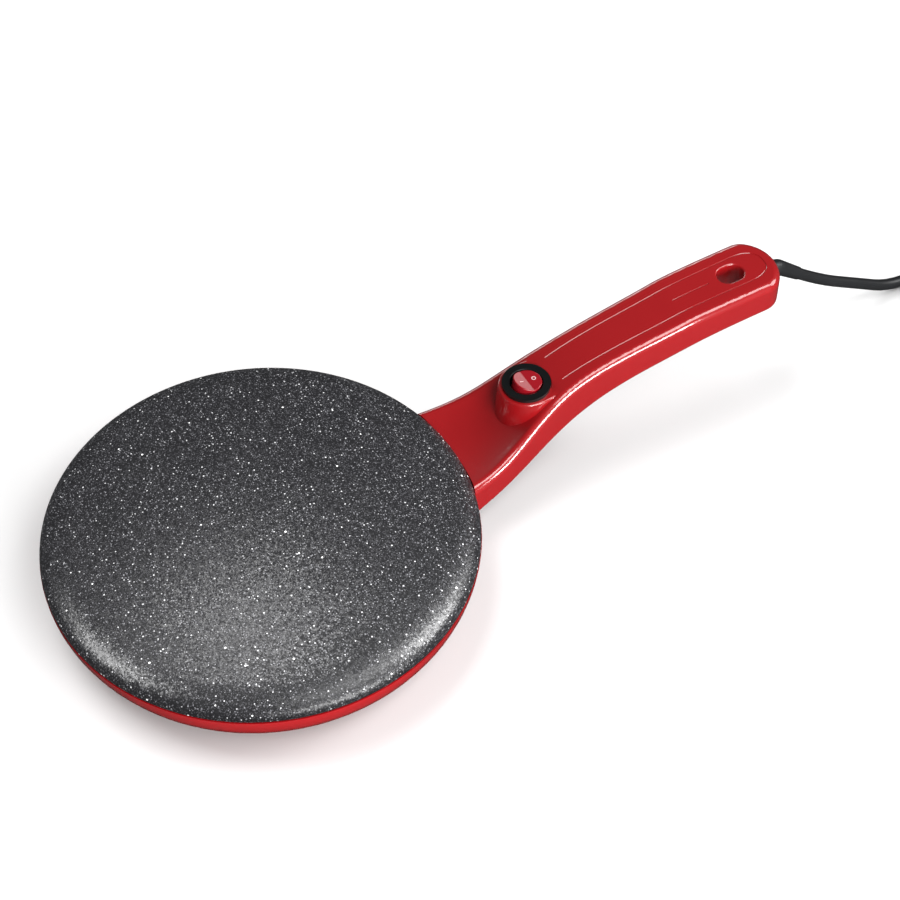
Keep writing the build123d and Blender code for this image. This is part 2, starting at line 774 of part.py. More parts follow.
switch_spot = [(switch_station, 0)]
with BuildPart() as handle_cover:
    add(handle_block(0, crest, 0, keel, 0))
    fillet(silhouette_edges(handle_cover.part, True), crest_round)
    fillet(silhouette_edges(handle_cover.part, False), keel_round)
    add(ramp_channel.part, mode=Mode.SUBTRACT)
    brows = handle_cover.edges().filter_by(
        lambda edge: edge.length > ramp_line[-1][0]
        and abs(edge.center().X - ramp_middle) < ramp_line[-1][0] / 4
    )
    fillet(brows, brow_round)
    add(boss_block(0, boss_top))
    add(handle_block(cover_wall, roof_line, -cover_skin, keel, -clear_height), mode=Mode.SUBTRACT)
    extrude(discs(root, boss_top, switch_spot, bezel_radius + seam_gap), amount=boss_height,
            mode=Mode.SUBTRACT)
    extrude(discs(root, boss_top - cover_skin, switch_spot, boss_radius - cover_wall + 0.3),
            amount=-boss_height + boss_foot, mode=Mode.SUBTRACT)
    extrude(discs(root, boss_top + 1, switch_spot, switch_hole_radius), amount=-cover_skin - 2,
            mode=Mode.SUBTRACT)
    for (x, y), seat in zip(screw_places, cover_screw_seats):
        bottom = seat + tray_pad_height
        extrude(discs(root, bottom, [(x, y)], cover_post_radius),
                amount=line_level(roof_line, x) - cover_skin / 2 - bottom)
        extrude(discs(root, bottom, [(x, y)], cover_screw_radius + clearance / 2),
                amount=cover_screw_length - tray_pad_height + 0.3, mode=Mode.SUBTRACT)
    add(hang_sleeve.part)
    with BuildSketch(root):
        with Locations((hang_hole_x, 0)):
            SlotOverall(hang_hole_length, hang_hole_width)
    extrude(amount=clear_height, mode=Mode.SUBTRACT)
    rim_edges = handle_cover.edges().filter_by_position(Axis.Z, rim_z + crest_end - 0.6, clear_height)
    near_hole = rim_edges.filter_by(
        lambda edge: abs(edge.center().X - root.origin.X - hang_hole_x) < hang_hole_length / 2 + 0.1
        and abs(edge.center().Y) < hang_hole_width / 2 + 0.1
    )
    fillet(near_hole, 1)
    with BuildSketch(Plane((root.origin.X + tip_x - 5, 0, relief_z), z_dir=(1, 0, 0))):
        Circle(relief_root_radius + clearance)
    extrude(amount=8, mode=Mode.SUBTRACT)
    add(bowl_block(-seam_gap, clear_height), mode=Mode.SUBTRACT)
write(handle_cover.part, "handle_cover")

with BuildPart() as cover_screws:
    for (x, y), seat in zip(screw_places, cover_screw_seats):
        add(headed_screw(root, (x, y), seat, cover_screw_radius, cover_screw_length, cover_screw_head,
                         cover_screw_head_height))
write(cover_screws.part, "cover_screws")

# ---------------------------------------------------------------- rocker switch
switch_x = root.origin.X + switch_station
switch_side = Plane((switch_x, 0, boss_top), x_dir=(1, 0, 0), z_dir=(0, -1, 0))
floor_level = barrel_floor - barrel_depth
blade_places = [(-blade_pitch, 0), (0, 0), (blade_pitch, 0)]
switch_top = Plane((switch_x, 0, boss_top))
with BuildPart() as switch_body:
    with BuildSketch(switch_side) as ring:
        with BuildLine():
            Polyline(
                (opening_radius, 0),
                (barrel_bore, 0),
                (barrel_bore, floor_level),
                (0, floor_level),
                (0, -barrel_depth),
                (barrel_radius, -barrel_depth),
                (barrel_radius, 0),
                (bezel_radius, 0),
                (bezel_radius, bezel_height),
                (opening_radius, bezel_height),
                close=True,
            )
        make_face()
        corners = ring.vertices().group_by(Axis.Y)[-1].sort_by(Axis.X)
        fillet(corners[0], bezel_inner_round)
        fillet(corners[-1], bezel_round)
    revolve(axis=Axis((switch_x, 0, 0), (0, 0, 1)))
    with BuildSketch(Plane((switch_x, -pivot_pin_reach - clearance, pivot_z), z_dir=(0, 1, 0))):
        Circle(pivot_pin_radius + pin_clearance)
    extrude(amount=2 * (pivot_pin_reach + clearance), mode=Mode.SUBTRACT)
    with BuildSketch(switch_top.offset(-barrel_depth)):
        with Locations(*blade_places):
            Rectangle(blade_thickness + clearance, blade_width + clearance)
    extrude(amount=barrel_floor, mode=Mode.SUBTRACT)
write(switch_body.part, "switch_body")


def tilted(angle, height):
    """Planes of a see-saw piece that is turned about its pivot: across and from the side."""
    turn = math.radians(angle)
    along = (math.cos(turn), 0, -math.sin(turn))
    upward = (math.sin(turn), 0, math.cos(turn))
    origin = (switch_x, 0, height)
    return Plane(origin, x_dir=along, z_dir=upward), Plane(origin, x_dir=along, z_dir=(0, -1, 0))


rocker_top, rocker_side = tilted(rocker_swing, pivot_z)
rocker_slope = math.tan(math.radians(rocker_swing))


def rocker_form(radius, drop):
    """Round rocker with a shallow V across its top, `drop` lower than the outer one."""
    with BuildPart() as form:
        with BuildSketch(rocker_top.offset(-rocker_skirt)):
            Circle(radius)
        extrude(amount=rocker_skirt + rocker_rise + radius)
        with BuildSketch(rocker_side.offset(-2 * radius)):
            with BuildLine():
                Polyline(
                    (0, rocker_rise - drop),
                    (2 * radius, rocker_rise - drop + 2 * radius * rocker_slope),
                    (2 * radius, -2 * rocker_skirt),
                    (-2 * radius, -2 * rocker_skirt),
                    (-2 * radius, rocker_rise - drop + 2 * radius * rocker_slope),
                    close=True,
                )
            make_face()
        extrude(amount=4 * radius, mode=Mode.INTERSECT)
    return form.part


stem_plane = rocker_top.offset(-stem_drop)
with BuildPart() as switch_rocker:
    add(rocker_form(rocker_radius, 0))
    rim = switch_rocker.edges().filter_by(lambda edge: edge.center().Z > pivot_z + 1)
    fillet(rim.filter_by(GeomType.ELLIPSE), 0.45)
    add(rocker_form(rocker_radius - rocker_wall, rocker_wall), mode=Mode.SUBTRACT)
    with BuildSketch(stem_plane):
        Circle(stem_radius)
    extrude(amount=stem_drop + rocker_rise - rocker_wall + 0.3)
    with BuildSketch(stem_plane):
        Circle(stem_bore)
    extrude(amount=stem_drop + rocker_rise - 2 * rocker_wall, mode=Mode.SUBTRACT)
    for way in (1, -1):
        stub_start = Vector(switch_x, way * (rocker_radius - rocker_wall / 2), pivot_z)
        with BuildSketch(Plane(stub_start, z_dir=(0, way, 0))):
            Circle(pivot_pin_radius)
        extrude(amount=pivot_pin_reach - rocker_radius + rocker_wall / 2)
write(switch_rocker.part, "switch_rocker")

plunger_top = -stem_drop + plunger_engaged
with BuildPart() as switch_plunger:
    with BuildSketch(rocker_top.offset(-plunger_reach)):
        Circle(plunger_radius)
    extrude(amount=plunger_reach + plunger_top)
    fillet(switch_plunger.faces().sort_by(Axis.Z)[0].edges(), plunger_radius - 0.1)
write(switch_plunger.part, "switch_plunger")

bore_top = rocker_rise - 2 * rocker_wall
spring_height = bore_top - plunger_top - 2 * spring_wire - 2 * pin_clearance
spring_foot = rocker_top.offset(plunger_top + spring_wire + pin_clearance)
with BuildPart() as switch_spring:
    with BuildLine(spring_foot):
        coils = Helix(spring_height / spring_turns, spring_height, spring_radius,
                      direction=spring_foot.z_dir)
    with BuildSketch(Plane(coils @ 0, z_dir=coils % 0)):
        Circle(spring_wire)
    sweep(path=coils, is_frenet=True)
write(switch_spring.part, "switch_spring")

with BuildPart() as switch_lamp:
    with BuildSketch(rocker_side.offset(-lamp_length / 2)):
        with Locations((lamp_offset, rocker_rise - rocker_wall - lamp_radius + 0.4)):
            Circle(lamp_radius)
    extrude(amount=lamp_length)
    fillet(switch_lamp.edges().filter_by(GeomType.CIRCLE), lamp_radius / 2)
write(switch_lamp.part, "switch_lamp")

contact_z = pivot_z - plunger_reach - contact_gap - contact_thickness / 2
contact_top, contact_side = tilted(-contact_tilt, contact_z)
with BuildPart() as switch_contact:
    with BuildSketch(contact_top.offset(-contact_thickness / 2)):
        SlotOverall(contact_length, contact_width)
    extrude(amount=contact_thickness)
    with BuildSketch(contact_side.offset(-contact_width / 2)):
        Circle(contact_knuckle)
    extrude(amount=contact_width)
    with BuildSketch(contact_top.offset(contact_thickness / 2)):
        Rectangle(contact_length, 2 * contact_width)
    extrude(amount=contact_knuckle, mode=Mode.SUBTRACT)
write(switch_contact.part, "switch_contact")

contact_drop = contact_length / 2 * math.sin(math.radians(contact_tilt)) + contact_thickness / 2
blade_bottom = boss_top - barrel_depth - blade_reach
blade_tops = [contact_z - contact_drop - 0.2, contact_z - contact_knuckle - 0.15]
with BuildPart() as switch_terminals:
    for place, top in zip(blade_places, [blade_tops[0], blade_tops[1], blade_tops[0]]):
        with BuildSketch(Plane((switch_x, 0, blade_bottom))):
            with Locations(place):
                Rectangle(blade_thickness, blade_width)
        extrude(amount=top - blade_bottom)
write(switch_terminals.part, "switch_terminals")

# ---------------------------------------------------------------- push-on receptacles


def receptacle(foot, blade_size, wall_size, barrel_way):
    """Sleeve round the end of a blade, with a crimp barrel that points to one side."""
    bottom = Plane(foot - Vector(0, 0, sleeve_overlap))
    with BuildPart() as piece:
        with BuildSketch(bottom):
            Rectangle(blade_size[0] + wall_size, blade_size[1] + wall_size)
            Rectangle(blade_size[0] + clearance, blade_size[1] + clearance, mode=Mode.SUBTRACT)
        extrude(amount=receptacle_height)
        start = bottom.origin
        if barrel_way.Z == 0:
            half = Vector(blade_size[0] + wall_size, blade_size[1] + wall_size, 0) / 2
            reach = abs(barrel_way.X) * half.X + abs(barrel_way.Y) * half.Y
            start = start + Vector(0, 0, receptacle_height / 2) + barrel_way * reach
        with BuildSketch(Plane(start, z_dir=barrel_way)):
            Circle(barrel_crimp_radius)
        extrude(amount=barrel_crimp_length)
    return piece.part, start + barrel_way * barrel_crimp_length


upward_tab = (tab_thickness, tab_width)
side_tab = (tab_width, tab_thickness)
switch_blade = (blade_thickness, blade_width)
tap_a, tap_b = thermostat_tab_spread / 2, -thermostat_tab_spread / 2
thermostat_foot = thermostat_bottom - tab_length
ways = {
    "handle": Vector(1, 0, 0),
    "left": Vector(0, 1, 0),
    "right": Vector(0, -1, 0),
    "down": Vector(0, 0, -1),
}
fittings = {
    "element_a": (Vector(leg_places[0].X, leg_places[0].Y, tab_bottom), upward_tab, "handle"),
    "element_b": (Vector(leg_places[1].X, leg_places[1].Y, tab_bottom), upward_tab, "handle"),
    "thermostat_a": (Vector(pan_x, tap_a, thermostat_foot), side_tab, "down"),
    "thermostat_b": (Vector(pan_x, tap_b, thermostat_foot), side_tab, "down"),
    "lamp": (Vector(switch_x - blade_pitch, 0, blade_bottom), switch_blade, "right"),
    "live": (Vector(switch_x, 0, blade_bottom), switch_blade, "left"),
    "load": (Vector(switch_x + blade_pitch, 0, blade_bottom), switch_blade, "left"),
}
wire_ends = {}
with BuildPart() as spade_receptacles:
    for name, (foot, size, way) in fittings.items():
        sleeve, wire_ends[name] = receptacle(foot, size, receptacle_wall, ways[way])
        add(sleeve)
write(spade_receptacles.part, "spade_receptacles")

# ---------------------------------------------------------------- strain relief, cord clamp
wall_x = root.origin.X + tip_x
neck_start = wall_x - cover_wall - flange_setback
droop = math.radians(relief_droop)
elbow_x = wall_x + relief_neck
elbow_centre = Vector(elbow_x, 0, relief_z - relief_bend)
cone_start = Vector(elbow_x + relief_bend * math.sin(droop), 0,
                    relief_z - relief_bend * (1 - math.cos(droop)))
cone_way = Vector(math.cos(droop), 0, -math.sin(droop))
relief_end = cone_start + cone_way * relief_cone
with BuildPart() as strain_relief:
    with BuildSketch(Plane((neck_start - flange_thickness, 0, relief_z + 0.5), z_dir=(1, 0, 0))):
        RectangleRounded(flange_size[1], flange_size[0], 2)
    extrude(amount=flange_thickness)
    with BuildSketch(Plane((neck_start, 0, relief_z), z_dir=(1, 0, 0))):
        Circle(relief_root_radius)
    extrude(amount=elbow_x - neck_start)
    with BuildSketch(Plane((elbow_x, 0, relief_z), z_dir=(1, 0, 0))):
        Circle(relief_root_radius)
    revolve(axis=Axis(elbow_centre, (0, 1, 0)), revolution_arc=relief_droop)
    with BuildSketch(Plane(cone_start, z_dir=cone_way)):
        Circle(relief_root_radius)
    with BuildSketch(Plane(relief_end, z_dir=cone_way)):
        Circle(relief_end_radius)
    loft()
write(strain_relief.part, "strain_relief")

sheath_end = root.origin.X + tip_x - sheath_reach
with BuildPart() as lead_sheath:
    with BuildSketch(Plane((sheath_end, 0, relief_z), z_dir=(1, 0, 0))):
        Circle(sheath_radius)
    extrude(amount=neck_start - flange_thickness - sheath_end)
write(lead_sheath.part, "lead_sheath")

clamp_seat = relief_z + clamp_lift
with BuildPart() as cord_clamp:
    with BuildSketch(root.offset(clamp_seat)):
        with Locations((clamp_x, 0)):
            RectangleRounded(clamp_width, 2 * (clamp_spread + clamp_post_radius), clamp_width / 3)
        with Locations(*clamp_posts):
            Circle(small_screw_radius + clearance, mode=Mode.SUBTRACT)
    extrude(amount=clamp_height)
    with BuildSketch(Plane((root.origin.X + clamp_x - clamp_width, 0, relief_z), z_dir=(1, 0, 0))):
        Circle(sheath_radius + clearance / 2)
    extrude(amount=2 * clamp_width, mode=Mode.SUBTRACT)
write(cord_clamp.part, "cord_clamp")

with BuildPart() as clamp_screws:
    for place in clamp_posts:
        add(headed_screw(root, place, clamp_seat + clamp_height, small_screw_radius, clamp_height + 3.5,
                         small_screw_head, small_screw_head_height, up=False))
write(clamp_screws.part, "clamp_screws")

# ---------------------------------------------------------------- inner leads


def bend_radii(points, largest=math.inf):
    """Radius at each inner point: 0.45 of the shorter run allows it, up to the largest."""
    radii = []
    for before, corner, after in zip(points, points[1:], points[2:]):
        run = min((corner - before).length, (after - corner).length)
        half_turn = math.radians((corner - before).get_angle(after - corner)) / 2
        radii.append(min(largest, 0.45 * run / math.tan(half_turn)))
    return radii


def round_tube(points, radius, radii):
    """Round wire of a radius along straight runs joined by arcs; also its length."""
    with BuildPart() as tube:
        with BuildLine() as route:
            FilletPolyline(*points, radius=radii)
        with BuildSketch(Plane(points[0], z_dir=points[1] - points[0])):
            Circle(radius)
        sweep(path=route.wires()[0])
    return tube.part, route.wires()[0].length


def lead(points):
    """Insulated lead through some points."""
    return round_tube(points, lead_radius, bend_radii(points, lead_bend))[0]


def stations(*places):
    """Points given as distance from the plate's rim, sideways place and height."""
    return [Vector(root.origin.X + x, y, z) for x, y, z in places]


def under_rim(*places):
    """Points given as distance from the plate's rim, sideways place and depth under the rim."""
    return stations(*[(x, y, rim_z - depth) for x, y, depth in places])


def over_keel(*places):
    """Points given as distance from the plate's rim, sideways place and height over the keel."""
    return stations(*[(x, y, line_level(keel, x) + over) for x, y, over in places])


def under_plate(*places):
    """Points given as distance from the pan's axis, sideways place and depth under the rim."""
    return [Vector(pan_x + x, y, rim_z - depth) for x, y, depth in places]


def from_sheath(y, rise, side_y, side_rise):
    """Start of a core: straight out of the sheath, then out beside the hanging hole's sleeve."""
    return [
        Vector(sheath_end, y, relief_z + rise),
        Vector(sheath_end - core_straight, y, relief_z + rise),
        Vector(sheath_end - core_turn, side_y, relief_z + side_rise),
    ]


barrel_back = barrel_crimp_length + (tab_thickness + receptacle_wall) / 2
side_reach = (tab_width + receptacle_wall) / 2
beside_hole = hang_hole_width / 2 + hang_sleeve_wall + lead_radius + lead_gap
window_x = leg_places[0].X - pan_x
low_run = rim_z - bowl_floor - lead_radius - lead_gap
live_lead = lead([
    *from_sheath(1.5, 0, beside_hole, -0.2),
    *over_keel((last_screw, 9.2, 7.7), (92, 8.4, 7.1), (76, 8, 6.9), (62, 9.4, 7.3), (52, 13, 8.1)),
    *over_keel((46, 13.6, 8.7)),
    wire_ends["live"] + Vector(0, 5.6, 0),
    wire_ends["live"],
])
write(live_lead, "live_lead")
neutral_lead = lead([
    *from_sheath(-1.4, -1.2, -beside_hole, -1.6),
    *over_keel((last_screw, -9.4, 6.2), (92, -8.6, 5.5), (76, -8.6, 5.1), (60, -9.4, 5.7)),
    *over_keel((48, -12, 5.7), (34, -13.8, 5.7), (18, -8.6, 5.9)),
    *under_rim((2, -8.4, 10.4), (-12, -8.6, 13.6), (-25, -12, 17.8)),
    wire_ends["element_b"] + Vector(5, 0, 0),
    wire_ends["element_b"],
])
write(neutral_lead, "neutral_lead")
earth_end = earth_plane.origin + crimp_start + Vector(earth_crimp_length - earth_ring_radius, 0, 0)
earth_lead = lead([
    *from_sheath(-1.2, 1.2, -beside_hole, 1.6),
    *over_keel((last_screw, -9.4, 9.4), (92, -8.6, 8.9), (76, -8.6, 8.7), (60, -10, 9.1)),
    *over_keel((48, -13.2, 8.7), (34, -14.8, 8.9), (18, -5.4, 7.9)),
    *under_rim((2, -5, 7.6), (-12, -5, 10.4), (-32, -3, 15)),
    *under_plate((window_x + 1, -2, 14), (window_x - 2, -3, 7.5), (50, -7, 3), (49.5, -16, 1.6)),
    earth_end + Vector(4, 0, 0),
    earth_end,
])
write(earth_lead, "earth_lead")
switched_lead = lead([
    wire_ends["load"],
    wire_ends["load"] + Vector(0, 3, 0),
    *over_keel((44.5, 10.4, 4.1), (34, 8.6, 5.9), (18, 6, 5.7)),
    *under_rim((2, 6, 10.4), (-10, 6, 13.4), (-22, 6, 18.6), (-36, 5, low_run), (-60, 5, low_run)),
    *under_plate((12, 5, low_run - 1.1)),
    wire_ends["thermostat_a"] - Vector(0, 0, 5.6),
    wire_ends["thermostat_a"],
])
write(switched_lead, "switched_lead")
lamp_lead = lead([
    wire_ends["lamp"],
    wire_ends["lamp"] + Vector(0, -4.4, 0),
    *over_keel((28, -6.5, 8.2), (18, -2, 5.3)),
    *under_rim((2, -1.6, 11), (-12, -1.6, 14.4), (-30, -3, 19.6)),
    wire_ends["element_b"] + Vector(-barrel_back, side_reach + 3.6, 0),
    wire_ends["element_b"] + Vector(-barrel_back, side_reach, 0),
])
write(lamp_lead, "lamp_lead")
fuse_ends = [Vector(pan_x + way * fuse_lead_reach, fuse_offset, fuse_z) for way in (-1, 1)]
with BuildPart() as fuse_leads:
    add(lead([
        wire_ends["thermostat_b"],
        wire_ends["thermostat_b"] - Vector(0, 0, 4),
        *under_plate((-8, -2, 19), (-9.5, 4, 12), (-14, 14, 6), (-26, 24, 1.4)),
        fuse_ends[0] + Vector(-6, 0, 0),
        fuse_ends[0],
    ]))
    add(lead([
        fuse_ends[1],
        fuse_ends[1] + Vector(6, 0, 0),
        *under_plate((40, 22, 2.6), (window_x - 6, 9, 4.5), (window_x - 1, 4.5, 11)),
        wire_ends["element_a"] + Vector(-barrel_back, -side_reach - 5.4, 0),
        wire_ends["element_a"] + Vector(-barrel_back, -side_reach, 0),
    ]))
write(fuse_leads.part, "fuse_leads")

# ---------------------------------------------------------------- mains cord
cord_radius = cord_diameter / 2
coil_centre = root.origin + Vector(*coil_place)
outer_turn = coil_turn_radius + cord_diameter * (coil_turns_across - 1) / 2
coil_rise = cord_diameter * (1 + (coil_layers - 1) * math.sin(math.radians(60)))
coil_outer_radius = outer_turn + cord_radius
touch_reach = math.sqrt(coil_outer_radius**2 - outer_turn**2)
coil_entry = coil_centre + Vector(-touch_reach, outer_turn, cord_radius)
route_points = [
    relief_end,
    relief_end + cone_way * cord_first_run,
    *stations(*cord_route),
    coil_entry,
]


cord_radii = bend_radii(route_points)
power_cord, free_length = round_tube(route_points, cord_radius, cord_radii)
print("cord radii", [round(radius) for radius in cord_radii], "length", round(free_length))
print("cord volume", round(power_cord.volume), "of", round(math.pi * cord_radius**2 * free_length))
write(power_cord, "power_cord")

with BuildPart() as cord_coil:
    with BuildSketch(Plane(coil_centre, x_dir=(1, 0, 0), z_dir=(0, -1, 0))):
        with Locations((coil_turn_radius, coil_rise / 2)):
            RectangleRounded(coil_turns_across * cord_diameter, coil_rise, cord_radius)
    revolve(axis=Axis(coil_centre, (0, 0, 1)))
write(cord_coil.part, "cord_coil")

tail_start = coil_centre + Vector(outer_turn, -touch_reach, cord_radius)
plug_lean = math.radians(plug_tilt)
plug_length = plug_sleeve_length + plug_grip_length
plug_origin = Vector(tail_start.X, tail_start.Y - tail_length,
                     plug_face_radius * math.cos(plug_lean) - plug_length * math.sin(plug_lean))
plug_way = Vector(0, -math.cos(plug_lean), math.sin(plug_lean))
with BuildPart() as cord_tail:
    with BuildSketch(Plane(tail_start, z_dir=plug_origin - tail_start)):
        Circle(cord_radius)
    extrude(amount=(plug_origin - tail_start).length)
write(cord_tail.part, "cord_tail")

plug_base = Plane(plug_origin, x_dir=(1, 0, 0), z_dir=plug_way)
plug_side = Plane(plug_origin, x_dir=(1, 0, 0), z_dir=plug_base.y_dir * -1)
with BuildPart() as plug_body:
    with BuildSketch(plug_side):
        with BuildLine():
            Polyline(
                (0, 0),
                (plug_sleeve_end, 0),
                (plug_sleeve_radius, plug_sleeve_length),
                (plug_grip_radius, plug_sleeve_length + 4),
                (plug_grip_radius, plug_length - 3),
                (plug_face_radius, plug_length),
                (plug_face_radius, plug_length + plug_face_depth),
                (0, plug_length + plug_face_depth),
                close=True,
            )
        make_face()
    revolve(axis=Axis(plug_origin, plug_way))
write(plug_body.part, "plug_body")

with BuildPart() as plug_pins:
    with BuildSketch(plug_base.offset(plug_length + plug_face_depth)):
        with Locations((pin_pitch / 2, 0), (-pin_pitch / 2, 0)):
            Circle(pin_radius)
    extrude(amount=pin_length)
    ends = plug_pins.faces().filter_by(lambda face: face.normal_at(face.center()).dot(plug_way) > 0.9)
    fillet(ends.edges(), pin_radius / 2)
write(plug_pins.part, "plug_pins")
turns_length = 2 * math.pi * coil_turn_radius * coil_turn_count
print("whole cord", round(free_length + turns_length + tail_length))
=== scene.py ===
import json
import math

import bmesh
import bpy
import mathutils.interpolate
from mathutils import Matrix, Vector
from mathutils.bvhtree import BVHTree

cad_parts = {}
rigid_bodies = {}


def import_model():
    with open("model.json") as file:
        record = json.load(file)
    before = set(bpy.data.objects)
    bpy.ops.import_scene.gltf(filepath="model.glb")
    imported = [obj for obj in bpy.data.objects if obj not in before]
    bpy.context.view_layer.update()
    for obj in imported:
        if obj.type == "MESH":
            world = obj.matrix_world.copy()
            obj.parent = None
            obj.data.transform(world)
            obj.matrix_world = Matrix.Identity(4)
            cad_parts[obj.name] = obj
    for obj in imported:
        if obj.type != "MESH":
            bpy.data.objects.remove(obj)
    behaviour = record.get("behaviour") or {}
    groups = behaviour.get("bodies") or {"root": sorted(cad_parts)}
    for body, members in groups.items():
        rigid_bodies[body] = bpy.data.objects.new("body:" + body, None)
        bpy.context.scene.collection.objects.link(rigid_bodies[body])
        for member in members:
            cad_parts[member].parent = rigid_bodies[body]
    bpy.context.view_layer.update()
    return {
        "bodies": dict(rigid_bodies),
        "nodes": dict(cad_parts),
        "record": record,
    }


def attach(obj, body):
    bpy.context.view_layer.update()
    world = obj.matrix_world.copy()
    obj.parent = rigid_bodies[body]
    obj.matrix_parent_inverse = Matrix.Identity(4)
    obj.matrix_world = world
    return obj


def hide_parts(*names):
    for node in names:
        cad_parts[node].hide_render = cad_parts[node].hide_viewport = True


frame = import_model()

# ------------------------------------------------------------------ camera
# A long portrait lens looks down on the pan, with the handle running away to the right.
# It stands in front of the pan, on the side away from the handle.
eye = Vector((-0.3313, -0.5818, 0.8487))
look_at = Vector((0.0096, -0.0002, 0.031))
lens_length = 90.59
sensor_width = 36
camera_data = bpy.data.cameras.new("studio_camera")
camera_data.lens = lens_length
camera_data.sensor_width = sensor_width
camera = bpy.data.objects.new("studio_camera", camera_data)
camera.location = eye
camera.rotation_euler = (look_at - eye).to_track_quat("-Z", "Y").to_euler()
bpy.context.collection.objects.link(camera)
bpy.context.scene.camera = camera

# ------------------------------------------------------------------ mains cord
# A round three-core lead in black PVC. It falls from the handle's gland to the table and
# runs on to its put-away length, a flat coil of two layers, and then to the plug.
MM = 0.001
cord_radius = 2.9 * MM
relief_mouth = Vector((207.194, 0, 46.209)) * MM
cord_drop = [(222.974, 0, 32.968), (247.0, -0.4, 18.4), (272.9, -1.3, 2.9)]
coil_middle = Vector((308.4, -35.8, 2.9)) * MM
middle_turn = 30 * MM
outer_turn = middle_turn + 2 * cord_radius
inner_turn = middle_turn - 2 * cord_radius
layer_rise = 2 * cord_radius * math.sin(math.radians(60))
turns_inwards = 2.6
climb_start = 2.5
climb_end = 3
turns_outwards = 1.9
outward_shift = 3.44 * cord_radius
last_swing = 0.5
coil_turns = 5.25
turn_steps = 24
coil_out = Vector((344.2, -50.499, 2.9)) * MM
plug_foot = Vector((344.2, -68.499, 3.658)) * MM


def coil_point(turns):
    """The cord's middle after some turns: inwards on the table, then out again on top."""
    angle = math.radians(90) - 2 * math.pi * turns
    if turns < climb_end:
        radius = outer_turn - (outer_turn - inner_turn) * min(turns / turns_inwards, 1)
        rise = layer_rise * max(turns - climb_start, 0) / (climb_end - climb_start)
    else:
        radius = inner_turn + outward_shift * min((turns - climb_end) / turns_outwards, 1)
        rise = layer_rise
    share = max(turns - coil_turns + last_swing, 0) / last_swing
    radius += (outer_turn - radius) * share**2 * (3 - 2 * share)
    return coil_middle + Vector((radius * math.cos(angle), radius * math.sin(angle), rise))


cord_route = [relief_mouth] + [Vector(point) * MM for point in cord_drop]
for step in range(int(coil_turns * turn_steps) + 1):
    cord_route.append(coil_point(step / turn_steps))
cord_route += [coil_out, plug_foot]

# The bevel is one unit deep, so each point's own radius is the cord's real radius.
cord_line = bpy.data.curves.new("mains_cord_line", "CURVE")
cord_line.dimensions = "3D"
cord_spline = cord_line.splines.new("NURBS")
cord_spline.points.add(len(cord_route) - 1)
for point, place in zip(cord_spline.points, cord_route):
    point.co = (*place, 1)
    point.radius = cord_radius
cord_spline.order_u = 3
cord_spline.use_endpoint_u = True
cord_spline.resolution_u = 6
cord_line.bevel_depth = 1
cord_line.bevel_resolution = 6
mains_cord = bpy.data.objects.new("mains_cord", cord_line)
bpy.context.collection.objects.link(mains_cord)


def value_socket(group, way, name, default=0.0):
    """Adds a number socket to a node group."""
    socket = group.interface.new_socket(name, in_out=way, socket_type="NodeSocketFloat")
    if way == "INPUT":
        socket.default_value = default


# Every moulded or drawn surface has the same two kinds of unevenness: slow patches from
# the flow of the material, and a fine grain.
surface = bpy.data.node_groups.new("surface_unevenness", "ShaderNodeTree")
value_socket(surface, "INPUT", "Patches", 60)
value_socket(surface, "INPUT", "Grain", 2500)
value_socket(surface, "OUTPUT", "Shade")
value_socket(surface, "OUTPUT", "Height")
surface_in = surface.nodes.new("NodeGroupInput")
surface_out = surface.nodes.new("NodeGroupOutput")
surface_place = surface.nodes.new("ShaderNodeTexCoord")
patches = surface.nodes.new("ShaderNodeTexNoise")
patches.inputs["Detail"].default_value = 3
grain = surface.nodes.new("ShaderNodeTexNoise")
grain.inputs["Detail"].default_value = 2
for texture, size in ((patches, "Patches"), (grain, "Grain")):
    surface.links.new(surface_place.outputs["Object"], texture.inputs["Vector"])
    surface.links.new(surface_in.outputs[size], texture.inputs["Scale"])
surface.links.new(patches.outputs["Fac"], surface_out.inputs["Shade"])
surface.links.new(grain.outputs["Fac"], surface_out.inputs["Height"])


def finish(name, colour, roughness, patch=60, grain_size=2500, uneven=0.06, depth=0.01, metallic=0):
    """A material with slow patches in its colour and gloss, and a fine grain in its relief."""
    material = bpy.data.materials.new(name)
    material.use_nodes = True
    tree = material.node_tree
    shader = tree.nodes["Principled BSDF"]
    shader.inputs["Metallic"].default_value = metallic
    skin = tree.nodes.new("ShaderNodeGroup")
    skin.node_tree = surface
    skin.inputs["Patches"].default_value = patch
    skin.inputs["Grain"].default_value = grain_size
    least = 1 - 2 * uneven
    most = 1 + 2 * uneven
    tint = tree.nodes.new("ShaderNodeMix")
    tint.data_type = "RGBA"
    tint.inputs["A"].default_value = (*[part * least for part in colour], 1)
    tint.inputs["B"].default_value = (*[part * most for part in colour], 1)
    tree.links.new(skin.outputs["Shade"], tint.inputs["Factor"])
    tree.links.new(tint.outputs["Result"], shader.inputs["Base Color"])
    gloss = tree.nodes.new("ShaderNodeMapRange")
    gloss.inputs["To Min"].default_value = roughness * least
    gloss.inputs["To Max"].default_value = roughness * most
    tree.links.new(skin.outputs["Shade"], gloss.inputs["Value"])
    tree.links.new(gloss.outputs["Result"], shader.inputs["Roughness"])
    relief = tree.nodes.new("ShaderNodeBump")
    relief.inputs["Strength"].default_value = 1
    relief.inputs["Distance"].default_value = depth * MM
    tree.links.new(skin.outputs["Height"], relief.inputs["Height"])
    tree.links.new(relief.outputs["Normal"], shader.inputs["Normal"])
    return material


cord_pvc = finish("cord_pvc", (0.012, 0.0125, 0.0135), 0.36, patch=90, grain_size=1800, depth=0.03)
cord_line.materials.append(cord_pvc)
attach(mains_cord, "root")
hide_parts("power_cord", "cord_coil", "cord_tail")

